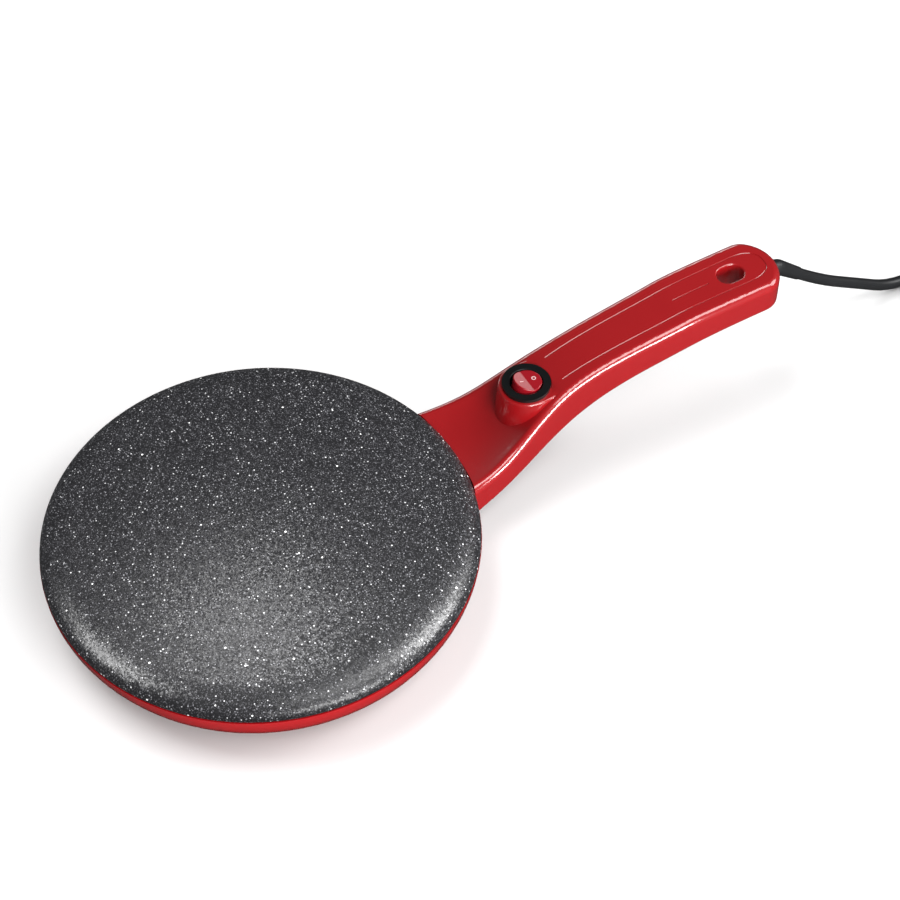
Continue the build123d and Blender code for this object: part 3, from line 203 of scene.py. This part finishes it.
# ------------------------------------------------------------------ plug
# A round moulded plug for an earthed socket, with two nickel-plated pins. It is cast in
# one piece over the end of the cord, so nothing on it opens.
nodes = frame["nodes"]
body_nodes = frame["record"]["behaviour"]["bodies"]
weld_distance = 0.002 * MM
crease_angle = math.radians(30)


def soften(form):
    """Shades a mesh smooth, with hard edges only where two faces really turn."""
    for face in form.faces:
        face.smooth = True
        face.material_index = 0
    for edge in form.edges:
        edge.smooth = edge.is_manifold and edge.calc_face_angle(math.pi) < crease_angle


def fine_copy(node, name, material):
    """A CAD node's mesh as one smooth skin, on the node's body and in the node's place."""
    mesh = nodes[node].data.copy()
    mesh.name = name
    mesh.materials.clear()
    mesh.materials.append(material)
    form = bmesh.new()
    form.from_mesh(mesh)
    bmesh.ops.remove_doubles(form, verts=form.verts, dist=weld_distance)
    soften(form)
    form.to_mesh(mesh)
    form.free()
    piece = bpy.data.objects.new(name, mesh)
    bpy.context.collection.objects.link(piece)
    weighted = piece.modifiers.new("even_normals", "WEIGHTED_NORMAL")
    weighted.keep_sharp = True
    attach(piece, next(body for body in frame["bodies"] if node in body_nodes[body]))
    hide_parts(node)
    return piece


plug_pvc = finish("plug_pvc", (0.014, 0.0145, 0.0155), 0.42, patch=70, grain_size=2200, depth=0.03)
nickel = finish("nickel_plate", (0.66, 0.65, 0.61), 0.2, patch=220, uneven=0.08, depth=0.002, metallic=1)
plug = fine_copy("plug_body", "plug_moulding", plug_pvc)
pins = fine_copy("plug_pins", "plug_pin_pair", nickel)

# ------------------------------------------------------------------ strain relief
# A soft black PVC sleeve, held in the handle's end by its flange. It guides the cord
# downwards, so that the lead isn't kinked where it leaves the handle.
relief_pvc = finish("relief_pvc", (0.011, 0.0115, 0.0125), 0.42, patch=110, grain_size=2600, depth=0.03)
strain_relief = fine_copy("strain_relief", "relief_sleeve", relief_pvc)

# ------------------------------------------------------------------ cooking plate
# A domed plate of cast aluminium that is dipped in the batter, non-stick coated in dark
# grey with pale stone specks. Its skirt sits inside the shell's rim.
pan_middle = Vector((-89.6, 0, 0)) * MM
plate_radius = 100 * MM
rim_height = 31 * MM
crown = 17 * MM
plate_wall = 4 * MM
shoulder_width = 26 * MM
shoulder_height = 10 * MM
lip_height = 1 * MM
lip_chamfer = 0.3 * MM
skirt_outer = 96.4 * MM
skirt_inner = 93 * MM
skirt_depth = 4 * MM
plate_steps = 288
dome_steps = 40
shoulder_steps = 24
under_steps = 24


def shoulder_point(angle):
    """Distance and height on the shoulder's quarter ellipse, with its lean from upright."""
    distance = plate_radius - shoulder_width * (1 - math.cos(angle))
    height = rim_height + shoulder_height * math.sin(angle)
    lean = math.atan2(shoulder_height * math.cos(angle), shoulder_width * math.sin(angle))
    return distance, height, lean


# The dome's arc runs into the shoulder where both lean alike. Halving the range of angles
# again and again finds the place.
too_low = math.radians(30)
join_angle = math.radians(89)
for halving in range(50):
    between = (too_low + join_angle) / 2
    distance, height, lean = shoulder_point(between)
    if distance * math.tan(lean / 2) > rim_height + crown - height:
        too_low = between
    else:
        join_angle = between
edge_distance, _, dome_edge = shoulder_point(join_angle)
dome_radius = edge_distance / math.sin(dome_edge)
dome_middle = rim_height + crown - dome_radius


def arc_points(middle, radius, start, end, count):
    """Points on an arc in a lathe's section, as distance and height; 0 is straight up."""
    angles = [start + (end - start) * step / count for step in range(count + 1)]
    return [(middle[0] + radius * math.sin(a), middle[1] + radius * math.cos(a)) for a in angles]


# A point of a section that lies nearer to the axis than this closes the mesh with a fan.
on_axis = 0.0001 * MM


def lathe(name, section, middle, steps):
    """Turns a section of (distance, height) round an upright axis into a smooth mesh."""
    mesh = bpy.data.meshes.new(name)
    form = bmesh.new()
    rings = []
    angles = [2 * math.pi * step / steps for step in range(steps)]
    for distance, height in section:
        if distance < on_axis:
            places = [Vector((0, 0, height))]
        else:
            places = [Vector((distance * math.cos(a), distance * math.sin(a), height)) for a in angles]
        rings.append([form.verts.new(middle + place) for place in places])
    for upper, lower in zip(rings, rings[1:]):
        for step in range(steps):
            after = (step + 1) % steps
            corners = [upper[step % len(upper)], lower[step % len(lower)],
                       lower[after % len(lower)], upper[after % len(upper)]]
            corners = list(dict.fromkeys(corners))
            if len(corners) > 2:
                form.faces.new(corners)
    bmesh.ops.recalc_face_normals(form, faces=form.faces)
    soften(form)
    form.to_mesh(mesh)
    form.free()
    return mesh


under_radius = dome_radius - plate_wall
under_edge = math.asin(skirt_inner / under_radius)
lip_bottom = rim_height - lip_height
plate_section = arc_points((0, dome_middle), dome_radius, 0, dome_edge, dome_steps)
for step in range(1, shoulder_steps + 1):
    plate_section.append(shoulder_point(join_angle * (1 - step / shoulder_steps))[:2])
plate_section += [
    (plate_radius, lip_bottom + lip_chamfer),
    (plate_radius - lip_chamfer, lip_bottom),
    (skirt_outer, lip_bottom),
    (skirt_outer, lip_bottom - skirt_depth),
    (skirt_inner, lip_bottom - skirt_depth),
]
plate_section += arc_points((0, dome_middle), under_radius, under_edge, 0, under_steps)
plate_mesh = lathe("coated_plate", plate_section, pan_middle, plate_steps)
plate = bpy.data.objects.new("coated_plate", plate_mesh)
bpy.context.collection.objects.link(plate)

# One layer of stone specks: a share of the cells hold a round speck, each of its own size.
specks = bpy.data.node_groups.new("stone_specks", "ShaderNodeTree")
value_socket(specks, "INPUT", "Cells", 400)
value_socket(specks, "INPUT", "Size", 0.2)
value_socket(specks, "INPUT", "Share", 0.5)
value_socket(specks, "OUTPUT", "Mask")
specks_in = specks.nodes.new("NodeGroupInput")
specks_out = specks.nodes.new("NodeGroupOutput")
specks_place = specks.nodes.new("ShaderNodeTexCoord")
cells = specks.nodes.new("ShaderNodeTexVoronoi")
specks.links.new(specks_place.outputs["Object"], cells.inputs["Vector"])
specks.links.new(specks_in.outputs["Cells"], cells.inputs["Scale"])
chance = specks.nodes.new("ShaderNodeSeparateColor")
specks.links.new(cells.outputs["Color"], chance.inputs["Color"])
kept = specks.nodes.new("ShaderNodeMath")
kept.operation = "LESS_THAN"
specks.links.new(chance.outputs["Red"], kept.inputs[0])
specks.links.new(specks_in.outputs["Share"], kept.inputs[1])
own_size = specks.nodes.new("ShaderNodeMath")
own_size.operation = "MULTIPLY_ADD"
specks.links.new(chance.outputs["Green"], own_size.inputs[0])
specks.links.new(specks_in.outputs["Size"], own_size.inputs[1])
specks.links.new(specks_in.outputs["Size"], own_size.inputs[2])
edge_of_speck = specks.nodes.new("ShaderNodeMath")
edge_of_speck.operation = "SUBTRACT"
specks.links.new(own_size.outputs["Value"], edge_of_speck.inputs[0])
specks.links.new(cells.outputs["Distance"], edge_of_speck.inputs[1])
soft_edge = specks.nodes.new("ShaderNodeMapRange")
soft_edge.inputs["From Max"].default_value = 0.06
specks.links.new(edge_of_speck.outputs["Value"], soft_edge.inputs["Value"])
masked = specks.nodes.new("ShaderNodeMath")
masked.operation = "MULTIPLY"
specks.links.new(soft_edge.outputs["Result"], masked.inputs[0])
specks.links.new(kept.outputs["Value"], masked.inputs[1])
specks.links.new(masked.outputs["Value"], specks_out.inputs["Mask"])

# The ground coat is full of fine flakes, which lean a little, each its own way, and glint.
coating = finish("stone_coating", (0.009, 0.009, 0.01), 0.3, patch=45, grain_size=1500,
                 uneven=0.05, depth=0.03)
coating_tree = coating.node_tree
coating_shader = coating_tree.nodes["Principled BSDF"]
coating_shader.inputs["Specular IOR Level"].default_value = 0.4
coating_place = coating_tree.nodes.new("ShaderNodeTexCoord")
flakes = coating_tree.nodes.new("ShaderNodeTexVoronoi")
flakes.inputs["Scale"].default_value = 1500
coating_tree.links.new(coating_place.outputs["Object"], flakes.inputs["Vector"])
flake_lean = coating_tree.nodes.new("ShaderNodeVectorMath")
flake_lean.operation = "SUBTRACT"
flake_lean.inputs[1].default_value = (0.5, 0.5, 0.5)
coating_tree.links.new(flakes.outputs["Color"], flake_lean.inputs[0])
flake_normal = coating_tree.nodes.new("ShaderNodeVectorMath")
flake_normal.operation = "MULTIPLY_ADD"
flake_normal.inputs[1].default_value = (0.2, 0.2, 0.2)
coating_tree.links.new(flake_lean.outputs["Vector"], flake_normal.inputs[0])
coating_tree.links.new(coating_shader.inputs["Normal"].links[0].from_socket, flake_normal.inputs[2])
flake_unit = coating_tree.nodes.new("ShaderNodeVectorMath")
flake_unit.operation = "NORMALIZE"
coating_tree.links.new(flake_normal.outputs["Vector"], flake_unit.inputs[0])
coating_tree.links.new(flake_unit.outputs["Vector"], coating_shader.inputs["Normal"])

# Over it lie four layers of specks, from dust to chips. Each has its cells to the metre, its
# speck's size as a part of a cell, the share of cells that hold one, and its colour.
ground = coating_shader.inputs["Base Color"].links[0].from_socket
speck_kinds = [(1500, 0.26, 0.75, (0.045, 0.045, 0.049)), (950, 0.18, 0.5, (0.14, 0.14, 0.15)),
               (560, 0.125, 0.3, (0.42, 0.42, 0.43)), (260, 0.085, 0.15, (0.78, 0.78, 0.78))]
for cell_count, size, share, colour in speck_kinds:
    layer = coating_tree.nodes.new("ShaderNodeGroup")
    layer.node_tree = specks
    layer.inputs["Cells"].default_value = cell_count
    layer.inputs["Size"].default_value = size
    layer.inputs["Share"].default_value = share
    blend = coating_tree.nodes.new("ShaderNodeMix")
    blend.data_type = "RGBA"
    blend.inputs["B"].default_value = (*colour, 1)
    coating_tree.links.new(layer.outputs["Mask"], blend.inputs["Factor"])
    coating_tree.links.new(ground, blend.inputs["A"])
    ground = blend.outputs["Result"]
coating_tree.links.new(ground, coating_shader.inputs["Base Color"])
plate_mesh.materials.append(coating)
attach(plate, "root")
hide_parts("cooking_plate")

# ------------------------------------------------------------------ base shell
# One glossy red moulding: the round bowl under the plate with its rim, screw wells and
# foot pockets, and the tray that closes the handle from below.
red_gloss = finish("red_gloss", (0.295, 0.0033, 0.0055), 0.4, patch=35, grain_size=900,
                   uneven=0.03, depth=0.004)
red_shader = red_gloss.node_tree.nodes["Principled BSDF"]
red_shader.inputs["Specular IOR Level"].default_value = 0.2
red_shader.inputs["Coat Weight"].default_value = 1
red_shader.inputs["Coat IOR"].default_value = 1.8
red_shader.inputs["Coat Roughness"].default_value = 0.13
bowl = fine_copy("base_shell", "bowl_and_tray", red_gloss)

# ------------------------------------------------------------------ feet
# Four soft rubber feet, pressed into round pockets under the bowl. Each has a rounded edge
# and a shallow dimple in its underside.
foot_radius = 6 * MM
foot_height = 4.2 * MM
foot_circle = 62 * MM
foot_round = 0.8 * MM
foot_count = 4
foot_steps = 48
round_steps = 6
dimple_depth = 0.25 * MM
dimple_radius = 3.3 * MM
dimple_rim = 3.72 * MM
foot_section = [(0, dimple_depth), (dimple_radius, dimple_depth), (dimple_rim, 0)]
foot_section += arc_points((foot_radius - foot_round, foot_round), foot_round,
                           math.radians(180), math.radians(90), round_steps)
foot_section += [(foot_radius, foot_height), (0, foot_height)]
foot_mesh = lathe("foot", foot_section, Vector((0, 0, 0)), foot_steps)
foot = bpy.data.objects.new("foot", foot_mesh)

foot_places = bpy.data.meshes.new("rubber_foot_set")
foot_angles = [math.radians(45 + 360 / foot_count * index) for index in range(foot_count)]
foot_points = [pan_middle + foot_circle * Vector((math.cos(a), math.sin(a), 0)) for a in foot_angles]
foot_places.from_pydata(foot_points, [], [])
feet = bpy.data.objects.new("rubber_foot_set", foot_places)
bpy.context.collection.objects.link(feet)

# A node tree sets one piece on every point, makes the copies real and paints them.
repeat = bpy.data.node_groups.new("piece_on_each_place", "GeometryNodeTree")
repeat.interface.new_socket("Places", in_out="INPUT", socket_type="NodeSocketGeometry")
repeat.interface.new_socket("Piece", in_out="INPUT", socket_type="NodeSocketObject")
repeat.interface.new_socket("Finish", in_out="INPUT", socket_type="NodeSocketMaterial")
repeat.interface.new_socket("Pieces", in_out="OUTPUT", socket_type="NodeSocketGeometry")
repeat_in = repeat.nodes.new("NodeGroupInput")
repeat_out = repeat.nodes.new("NodeGroupOutput")
piece_in = repeat.nodes.new("GeometryNodeObjectInfo")
on_places = repeat.nodes.new("GeometryNodeInstanceOnPoints")
realized = repeat.nodes.new("GeometryNodeRealizeInstances")
painted = repeat.nodes.new("GeometryNodeSetMaterial")
repeat.links.new(repeat_in.outputs["Piece"], piece_in.inputs["Object"])
repeat.links.new(repeat_in.outputs["Places"], on_places.inputs["Points"])
repeat.links.new(piece_in.outputs["Geometry"], on_places.inputs["Instance"])
repeat.links.new(on_places.outputs["Instances"], realized.inputs["Geometry"])
repeat.links.new(realized.outputs["Geometry"], painted.inputs["Geometry"])
repeat.links.new(repeat_in.outputs["Finish"], painted.inputs["Material"])
repeat.links.new(painted.outputs["Geometry"], repeat_out.inputs["Pieces"])

foot_rubber = finish("foot_rubber", (0.018, 0.018, 0.019), 0.75, patch=120, grain_size=3000, depth=0.04)
repeater = feet.modifiers.new("repeat", "NODES")
repeater.node_group = repeat
sockets = {item.name: item.identifier for item in repeat.interface.items_tree if item.in_out == "INPUT"}
repeater[sockets["Piece"]] = foot
repeater[sockets["Finish"]] = foot_rubber


def settle(piece):
    """Turns what a piece's modifiers make into its plain mesh, and takes them off."""
    seen = bpy.context.evaluated_depsgraph_get()
    result = bpy.data.meshes.new_from_object(piece.evaluated_get(seen), depsgraph=seen)
    piece.modifiers.clear()
    piece.data = result


settle(feet)
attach(feet, "root")
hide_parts("rubber_feet")

# ------------------------------------------------------------------ handle cover
# The glossy red upper half of the handle: a dished ramp up from the plate, the switch
# boss, and the grip with its moulded grooves and hanging hole.
handle = fine_copy("handle_cover", "handle_moulding", red_gloss)
groove_radius = 0.45 * MM
groove_lift = 0.08 * MM
groove_start = 65.9 * MM
groove_turn = 170 * MM
groove_end = 183.4 * MM
groove_width_start = 7.7 * MM
groove_width_end = 8.9 * MM
end_squareness = 0.78
mid_line_start = 131.8 * MM
mid_line_end = 152.2 * MM
side_steps = 30
end_steps = 32
line_steps = 12
well_above = 0.2

grip_tree = BVHTree.FromObject(handle, bpy.context.evaluated_depsgraph_get())


def on_grip(x, y):
    """The point of the grip's top surface straight under a place."""
    return grip_tree.ray_cast(Vector((x, y, well_above)), Vector((0, 0, -1)))[0]


# The outer groove runs up one side of the grip, round its end and back down the other side.
outer_groove = []
for step in range(side_steps + 1):
    share = step / side_steps
    width = groove_width_start + (groove_width_end - groove_width_start) * share
    outer_groove.append((groove_start + (groove_turn - groove_start) * share, width))
for step in range(1, end_steps):
    angle = math.pi / 2 * (1 - step / end_steps)
    reach = (groove_end - groove_turn) * math.cos(angle) ** end_squareness
    outer_groove.append((groove_turn + reach, groove_width_end * math.sin(angle) ** end_squareness))
outer_groove += [(groove_end, 0)] + [(x, -y) for x, y in reversed(outer_groove)]
mid_line = mid_line_end - mid_line_start
middle_groove = [(mid_line_start + mid_line * step / line_steps, 0) for step in range(line_steps + 1)]

groove_line = bpy.data.curves.new("groove_line", "CURVE")
groove_line.dimensions = "3D"
for path in (outer_groove, middle_groove):
    spline = groove_line.splines.new("POLY")
    spline.points.add(len(path) - 1)
    for point, (x, y) in zip(spline.points, path):
        place = on_grip(x, y) + Vector((0, 0, groove_lift))
        point.co = (*place, 1)
groove_line.bevel_depth = groove_radius
groove_line.bevel_resolution = 3
groove_line.use_fill_caps = True
groove_curve = bpy.data.objects.new("groove_line", groove_line)
bpy.context.collection.objects.link(groove_curve)
groove_seen = groove_curve.evaluated_get(bpy.context.evaluated_depsgraph_get())
groove_mesh = bpy.data.meshes.new_from_object(groove_seen)
bpy.data.objects.remove(groove_curve)
cutter = bpy.data.objects.new("groove_cutter", groove_mesh)
bpy.context.collection.objects.link(cutter)

# The skin is kept as it was before the cut, for its smooth normals.
skin = bpy.data.meshes.new_from_object(handle.evaluated_get(bpy.context.evaluated_depsgraph_get()))
skin_tree = BVHTree.FromPolygons([vertex.co for vertex in skin.vertices],
                                 [face.vertices for face in skin.polygons])
handle.modifiers.clear()
cut = handle.modifiers.new("grooves", "BOOLEAN")
cut.operation = "DIFFERENCE"
cut.solver = "EXACT"
cut.object = cutter
settle(handle)
bpy.data.objects.remove(cutter)
form = bmesh.new()
form.from_mesh(handle.data)
bmesh.ops.triangulate(form, faces=[face for face in form.faces if len(face.verts) > 4])
soften(form)
form.to_mesh(handle.data)
form.free()
handle.data.materials.clear()
handle.data.materials.append(red_gloss)


def skin_normal(place):
    """The uncut skin's smooth normal nearest to a point, its face's normal, and the gap to it."""
    nearest, flat, index, gap = skin_tree.find_nearest(place)
    face = skin.polygons[index]
    corners = [skin.vertices[vertex].co for vertex in face.vertices]
    shares = mathutils.interpolate.poly_3d_calc(corners, nearest)
    total = Vector((0, 0, 0))
    for share, corner in zip(shares, face.loop_indices):
        total += share * Vector(skin.corner_normals[corner].vector)
    return total.normalized(), flat, gap


# Faces that the cut left on the skin take its normals again, read a little inside each corner.
# The grooves' own faces keep theirs.
skin_gap = 0.02 * MM
same_lean = 0.97
inwards = 0.03
corner_normals = [Vector(normal.vector) for normal in handle.data.corner_normals]
for face in handle.data.polygons:
    normal, flat, gap = skin_normal(face.center)
    if gap > skin_gap or flat.dot(face.normal) < same_lean:
        continue
    for corner in face.loop_indices:
        place = handle.data.vertices[handle.data.loops[corner].vertex_index].co
        corner_normals[corner] = skin_normal(place.lerp(face.center, inwards))[0]
handle.data.normals_split_custom_set(corner_normals)
bpy.data.meshes.remove(skin)

# ------------------------------------------------------------------ rocker switch
# A round panel switch, snapped into the boss from above: a black body with a thick
# collar, and a clear red rocker with printed marks over a small neon lamp.
switch_black = finish("switch_black", (0.0045, 0.0055, 0.0058), 0.36, patch=150, grain_size=2600,
                      depth=0.008)
black_shader = switch_black.node_tree.nodes["Principled BSDF"]
black_shader.inputs["Specular IOR Level"].default_value = 0.35
switch_red = finish("switch_red", (0.36, 0.008, 0.016), 0.2, patch=160, uneven=0.03, depth=0.002)
rocker_shader = switch_red.node_tree.nodes["Principled BSDF"]
rocker_shader.inputs["Transmission Weight"].default_value = 0.25
rocker_shader.inputs["IOR"].default_value = 1.49
rocker_shader.inputs["Coat Weight"].default_value = 0.5
mark_paint = finish("mark_paint", (0.78, 0.55, 0.55), 0.45, patch=300, uneven=0.04, depth=0.002)
fine_copy("switch_body", "switch_barrel", switch_black)
rocker = fine_copy("switch_rocker", "rocker_cap", switch_red)

switch_x = 50.9 * MM
pivot_height = 53 * MM
rocker_rise = 2.75 * MM
swing = math.radians(11)
mark_from_middle = 3.4 * MM
mark_lift = 0.02 * MM
mark_thickness = 0.05 * MM
ring_outer = 1.05 * MM
ring_inner = 0.7 * MM
ring_steps = 40
bar_reach = 1.05 * MM
bar_half_width = 0.18 * MM


def on_rocker(along, across, lift, side):
    """A place on one half of the rocker's top, in the rocker's own tilted frame."""
    x = side * mark_from_middle + along
    z = rocker_rise + abs(x) * math.tan(swing) + lift
    return Vector((switch_x + x * math.cos(swing) + z * math.sin(swing), across,
                   pivot_height - x * math.sin(swing) + z * math.cos(swing)))


# The ring for off lies on the outer half and the bar for on lies on the half by the plate.
form = bmesh.new()
mark_top = mark_thickness + mark_lift
ring = []
for step in range(ring_steps):
    angle = 2 * math.pi * step / ring_steps
    for radius, lift in ((ring_outer, mark_lift), (ring_outer, mark_top),
                         (ring_inner, mark_top), (ring_inner, mark_lift)):
        ring.append(form.verts.new(on_rocker(radius * math.cos(angle), radius * math.sin(angle), lift, 1)))
for step in range(ring_steps):
    for side in range(4):
        here = 4 * step
        beside = 4 * ((step + 1) % ring_steps)
        form.faces.new([ring[here + side], ring[beside + side],
                        ring[beside + (side + 1) % 4], ring[here + (side + 1) % 4]])
bar = []
for lift in (mark_lift, mark_top):
    for along, across in ((-bar_reach, -bar_half_width), (bar_reach, -bar_half_width),
                          (bar_reach, bar_half_width), (-bar_reach, bar_half_width)):
        bar.append(form.verts.new(on_rocker(along, across, lift, -1)))
for corners in ((3, 2, 1, 0), (4, 5, 6, 7), (0, 1, 5, 4), (1, 2, 6, 5), (2, 3, 7, 6), (3, 0, 4, 7)):
    form.faces.new([bar[corner] for corner in corners])
bmesh.ops.recalc_face_normals(form, faces=form.faces)
marks_mesh = bpy.data.meshes.new("rocker_marks")
form.to_mesh(marks_mesh)
form.free()
marks_mesh.materials.append(mark_paint)
marks = bpy.data.objects.new("rocker_marks", marks_mesh)
bpy.context.collection.objects.link(marks)
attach(marks, "rocker")

# ------------------------------------------------------------------ inner works
# What the shell and the handle hide: the ring element with its ceramic seals, the
# thermostat, the thermal fuse in its sleeve, the earth ring, the heat shield, and the
# switch's own works. They keep the solids' shapes.
zinc = finish("zinc_plate", (0.56, 0.57, 0.59), 0.34, patch=240, grain_size=4000, depth=0.003, metallic=1)
brass = finish("plain_brass", (0.62, 0.42, 0.16), 0.3, patch=240, grain_size=4000, depth=0.003, metallic=1)
aluminium = finish("sheet_aluminium", (0.68, 0.69, 0.7), 0.36, patch=120, grain_size=3500,
                   depth=0.004, metallic=1)
element_steel = finish("element_steel", (0.27, 0.26, 0.25), 0.42, patch=160, uneven=0.12,
                       depth=0.01, metallic=1)
ceramic = finish("fired_ceramic", (0.74, 0.69, 0.6), 0.55, patch=180, grain_size=3200, depth=0.02)
glass_cloth = finish("glass_cloth", (0.72, 0.67, 0.56), 0.6, patch=300, grain_size=2800, depth=0.06)
lamp_glass = finish("lamp_glass", (0.85, 0.5, 0.36), 0.08, patch=300, uneven=0.02, depth=0.001)
lamp_shader = lamp_glass.node_tree.nodes["Principled BSDF"]
lamp_shader.inputs["Transmission Weight"].default_value = 0.7
live_brown = finish("live_insulation", (0.13, 0.045, 0.014), 0.4, patch=200, depth=0.01)
neutral_blue = finish("neutral_insulation", (0.02, 0.11, 0.34), 0.4, patch=200, depth=0.01)
earth_green = finish("earth_insulation", (0.20, 0.38, 0.03), 0.4, patch=200, depth=0.01)
heat_white = finish("heat_insulation", (0.76, 0.74, 0.68), 0.5, patch=200, depth=0.02)
inner_finishes = {
    element_steel: ["heating_element"],
    ceramic: ["element_seals", "thermostat_body"],
    aluminium: ["heat_shield", "thermostat_cap"],
    zinc: ["thermostat_bracket", "thermostat_screws", "fuse_clip", "fuse_clip_screw", "earth_screw",
           "plate_spacers", "plate_screws", "cover_screws", "clamp_screws", "switch_spring"],
    nickel: ["element_tabs", "thermostat_tabs", "thermal_fuse", "earth_ring", "spade_receptacles"],
    brass: ["switch_terminals", "switch_contact"],
    glass_cloth: ["fuse_sleeve"],
    lamp_glass: ["switch_lamp"],
    switch_black: ["switch_plunger", "cord_clamp", "lead_sheath"],
    live_brown: ["live_lead", "switched_lead"],
    neutral_blue: ["neutral_lead"],
    earth_green: ["earth_lead"],
    heat_white: ["lamp_lead", "fuse_leads"],
}
for material, names in inner_finishes.items():
    for name in names:
        for place in nodes[name].material_slots:
            place.material = material

# ------------------------------------------------------------------ studio
# A pale table under a plain pale sky, with soft boxes round it. Those that put a sheen on
# one piece, or keep the table white, light only the pieces that they name.
table_reach = 30
floor_corners = [(-table_reach, -table_reach, 0), (table_reach, -table_reach, 0),
                 (table_reach, table_reach, 0), (-table_reach, table_reach, 0)]
floor_mesh = bpy.data.meshes.new("table")
floor_mesh.from_pydata(floor_corners, [], [(0, 1, 2, 3)])
floor = bpy.data.objects.new("table", floor_mesh)
bpy.context.collection.objects.link(floor)
table_white = finish("table_white", (0.58, 0.58, 0.58), 0.7, patch=3, grain_size=200,
                     uneven=0.004, depth=0.002)

# The table looks dark in reflections, so it doesn't wash out the red sides that face it.
table_tree = table_white.node_tree
table_shader = table_tree.nodes["Principled BSDF"]
table_rays = table_tree.nodes.new("ShaderNodeLightPath")
table_tint = table_tree.nodes.new("ShaderNodeMix")
table_tint.data_type = "RGBA"
table_tint.inputs["B"].default_value = (0.03, 0.03, 0.03, 1)
table_tree.links.new(table_shader.inputs["Base Color"].links[0].from_socket, table_tint.inputs["A"])
table_tree.links.new(table_rays.outputs["Is Glossy Ray"], table_tint.inputs["Factor"])
table_tree.links.new(table_tint.outputs["Result"], table_shader.inputs["Base Color"])
table_shader.inputs["Specular IOR Level"].default_value = 0.1
floor_mesh.materials.append(table_white)


def soft_box(name, direction, width, height, power, only=(), distance=1.7):
    """A rectangular light that points at the object's middle, and may light a few pieces only."""
    light_data = bpy.data.lights.new(name, "AREA")
    light_data.shape = "RECTANGLE"
    light_data.size = width
    light_data.size_y = height
    light_data.energy = power
    light = bpy.data.objects.new(name, light_data)
    light.location = Vector(direction).normalized() * distance
    light.rotation_euler = (-light.location).to_track_quat("-Z", "Y").to_euler()
    bpy.context.collection.objects.link(light)
    if only:
        lit = bpy.data.collections.new(name + "_lights")
        for piece in only:
            lit.objects.link(piece)
        light.light_linking.receiver_collection = lit


soft_box("key_over_handle", (0.22, -0.41, 0.89), 1.6, 0.7, 20)
soft_box("fill_front", (0.05, -0.93, 0.33), 1.2, 0.5, 36)
soft_box("side_right", (0.80, -0.25, 0.55), 0.8, 0.8, 10)
soft_box("edge_behind", (0.20, 0.93, 0.30), 1.6, 0.3, 8, only=[handle, bowl])
soft_box("bowl_wash", (-0.15, -0.90, 0.22), 1.2, 0.4, 20, only=[bowl])
soft_box("dome_sheen", (0.01, 0.28, 0.96), 0.3, 0.3, 9, only=[plate])
soft_box("rim_right", (0.62, -0.41, 0.67), 0.5, 0.7, 34, only=[plate])
soft_box("rim_left", (-0.66, 0.25, 0.71), 0.5, 0.7, 25, only=[plate])
soft_box("switch_sheen", (0.77, 0.55, 0.33), 0.5, 0.5, 1.4, only=[rocker])
soft_box("table_wash", (-0.25, 0.35, 0.90), 1.8, 1.8, 84, only=[floor], distance=3)

# The sky is dimmed in reflections too, so that only the soft boxes show in the gloss.
sky_strength = 0.38
sky_in_gloss = 0.05
world = bpy.data.worlds.new("studio")
world.use_nodes = True
air = world.node_tree
backdrop = air.nodes["Background"]
backdrop.inputs["Color"].default_value = (1, 1, 1, 1)
backdrop.inputs["Strength"].default_value = sky_strength
dim = air.nodes.new("ShaderNodeBackground")
dim.inputs["Strength"].default_value = sky_in_gloss
rays = air.nodes.new("ShaderNodeLightPath")
choice = air.nodes.new("ShaderNodeMixShader")
air.links.new(rays.outputs["Is Glossy Ray"], choice.inputs["Fac"])
air.links.new(backdrop.outputs["Background"], choice.inputs[1])
air.links.new(dim.outputs["Background"], choice.inputs[2])
air.links.new(choice.outputs["Shader"], air.nodes["World Output"].inputs["Surface"])
bpy.context.scene.world = world
bpy.context.scene.view_settings.view_transform = "Standard"
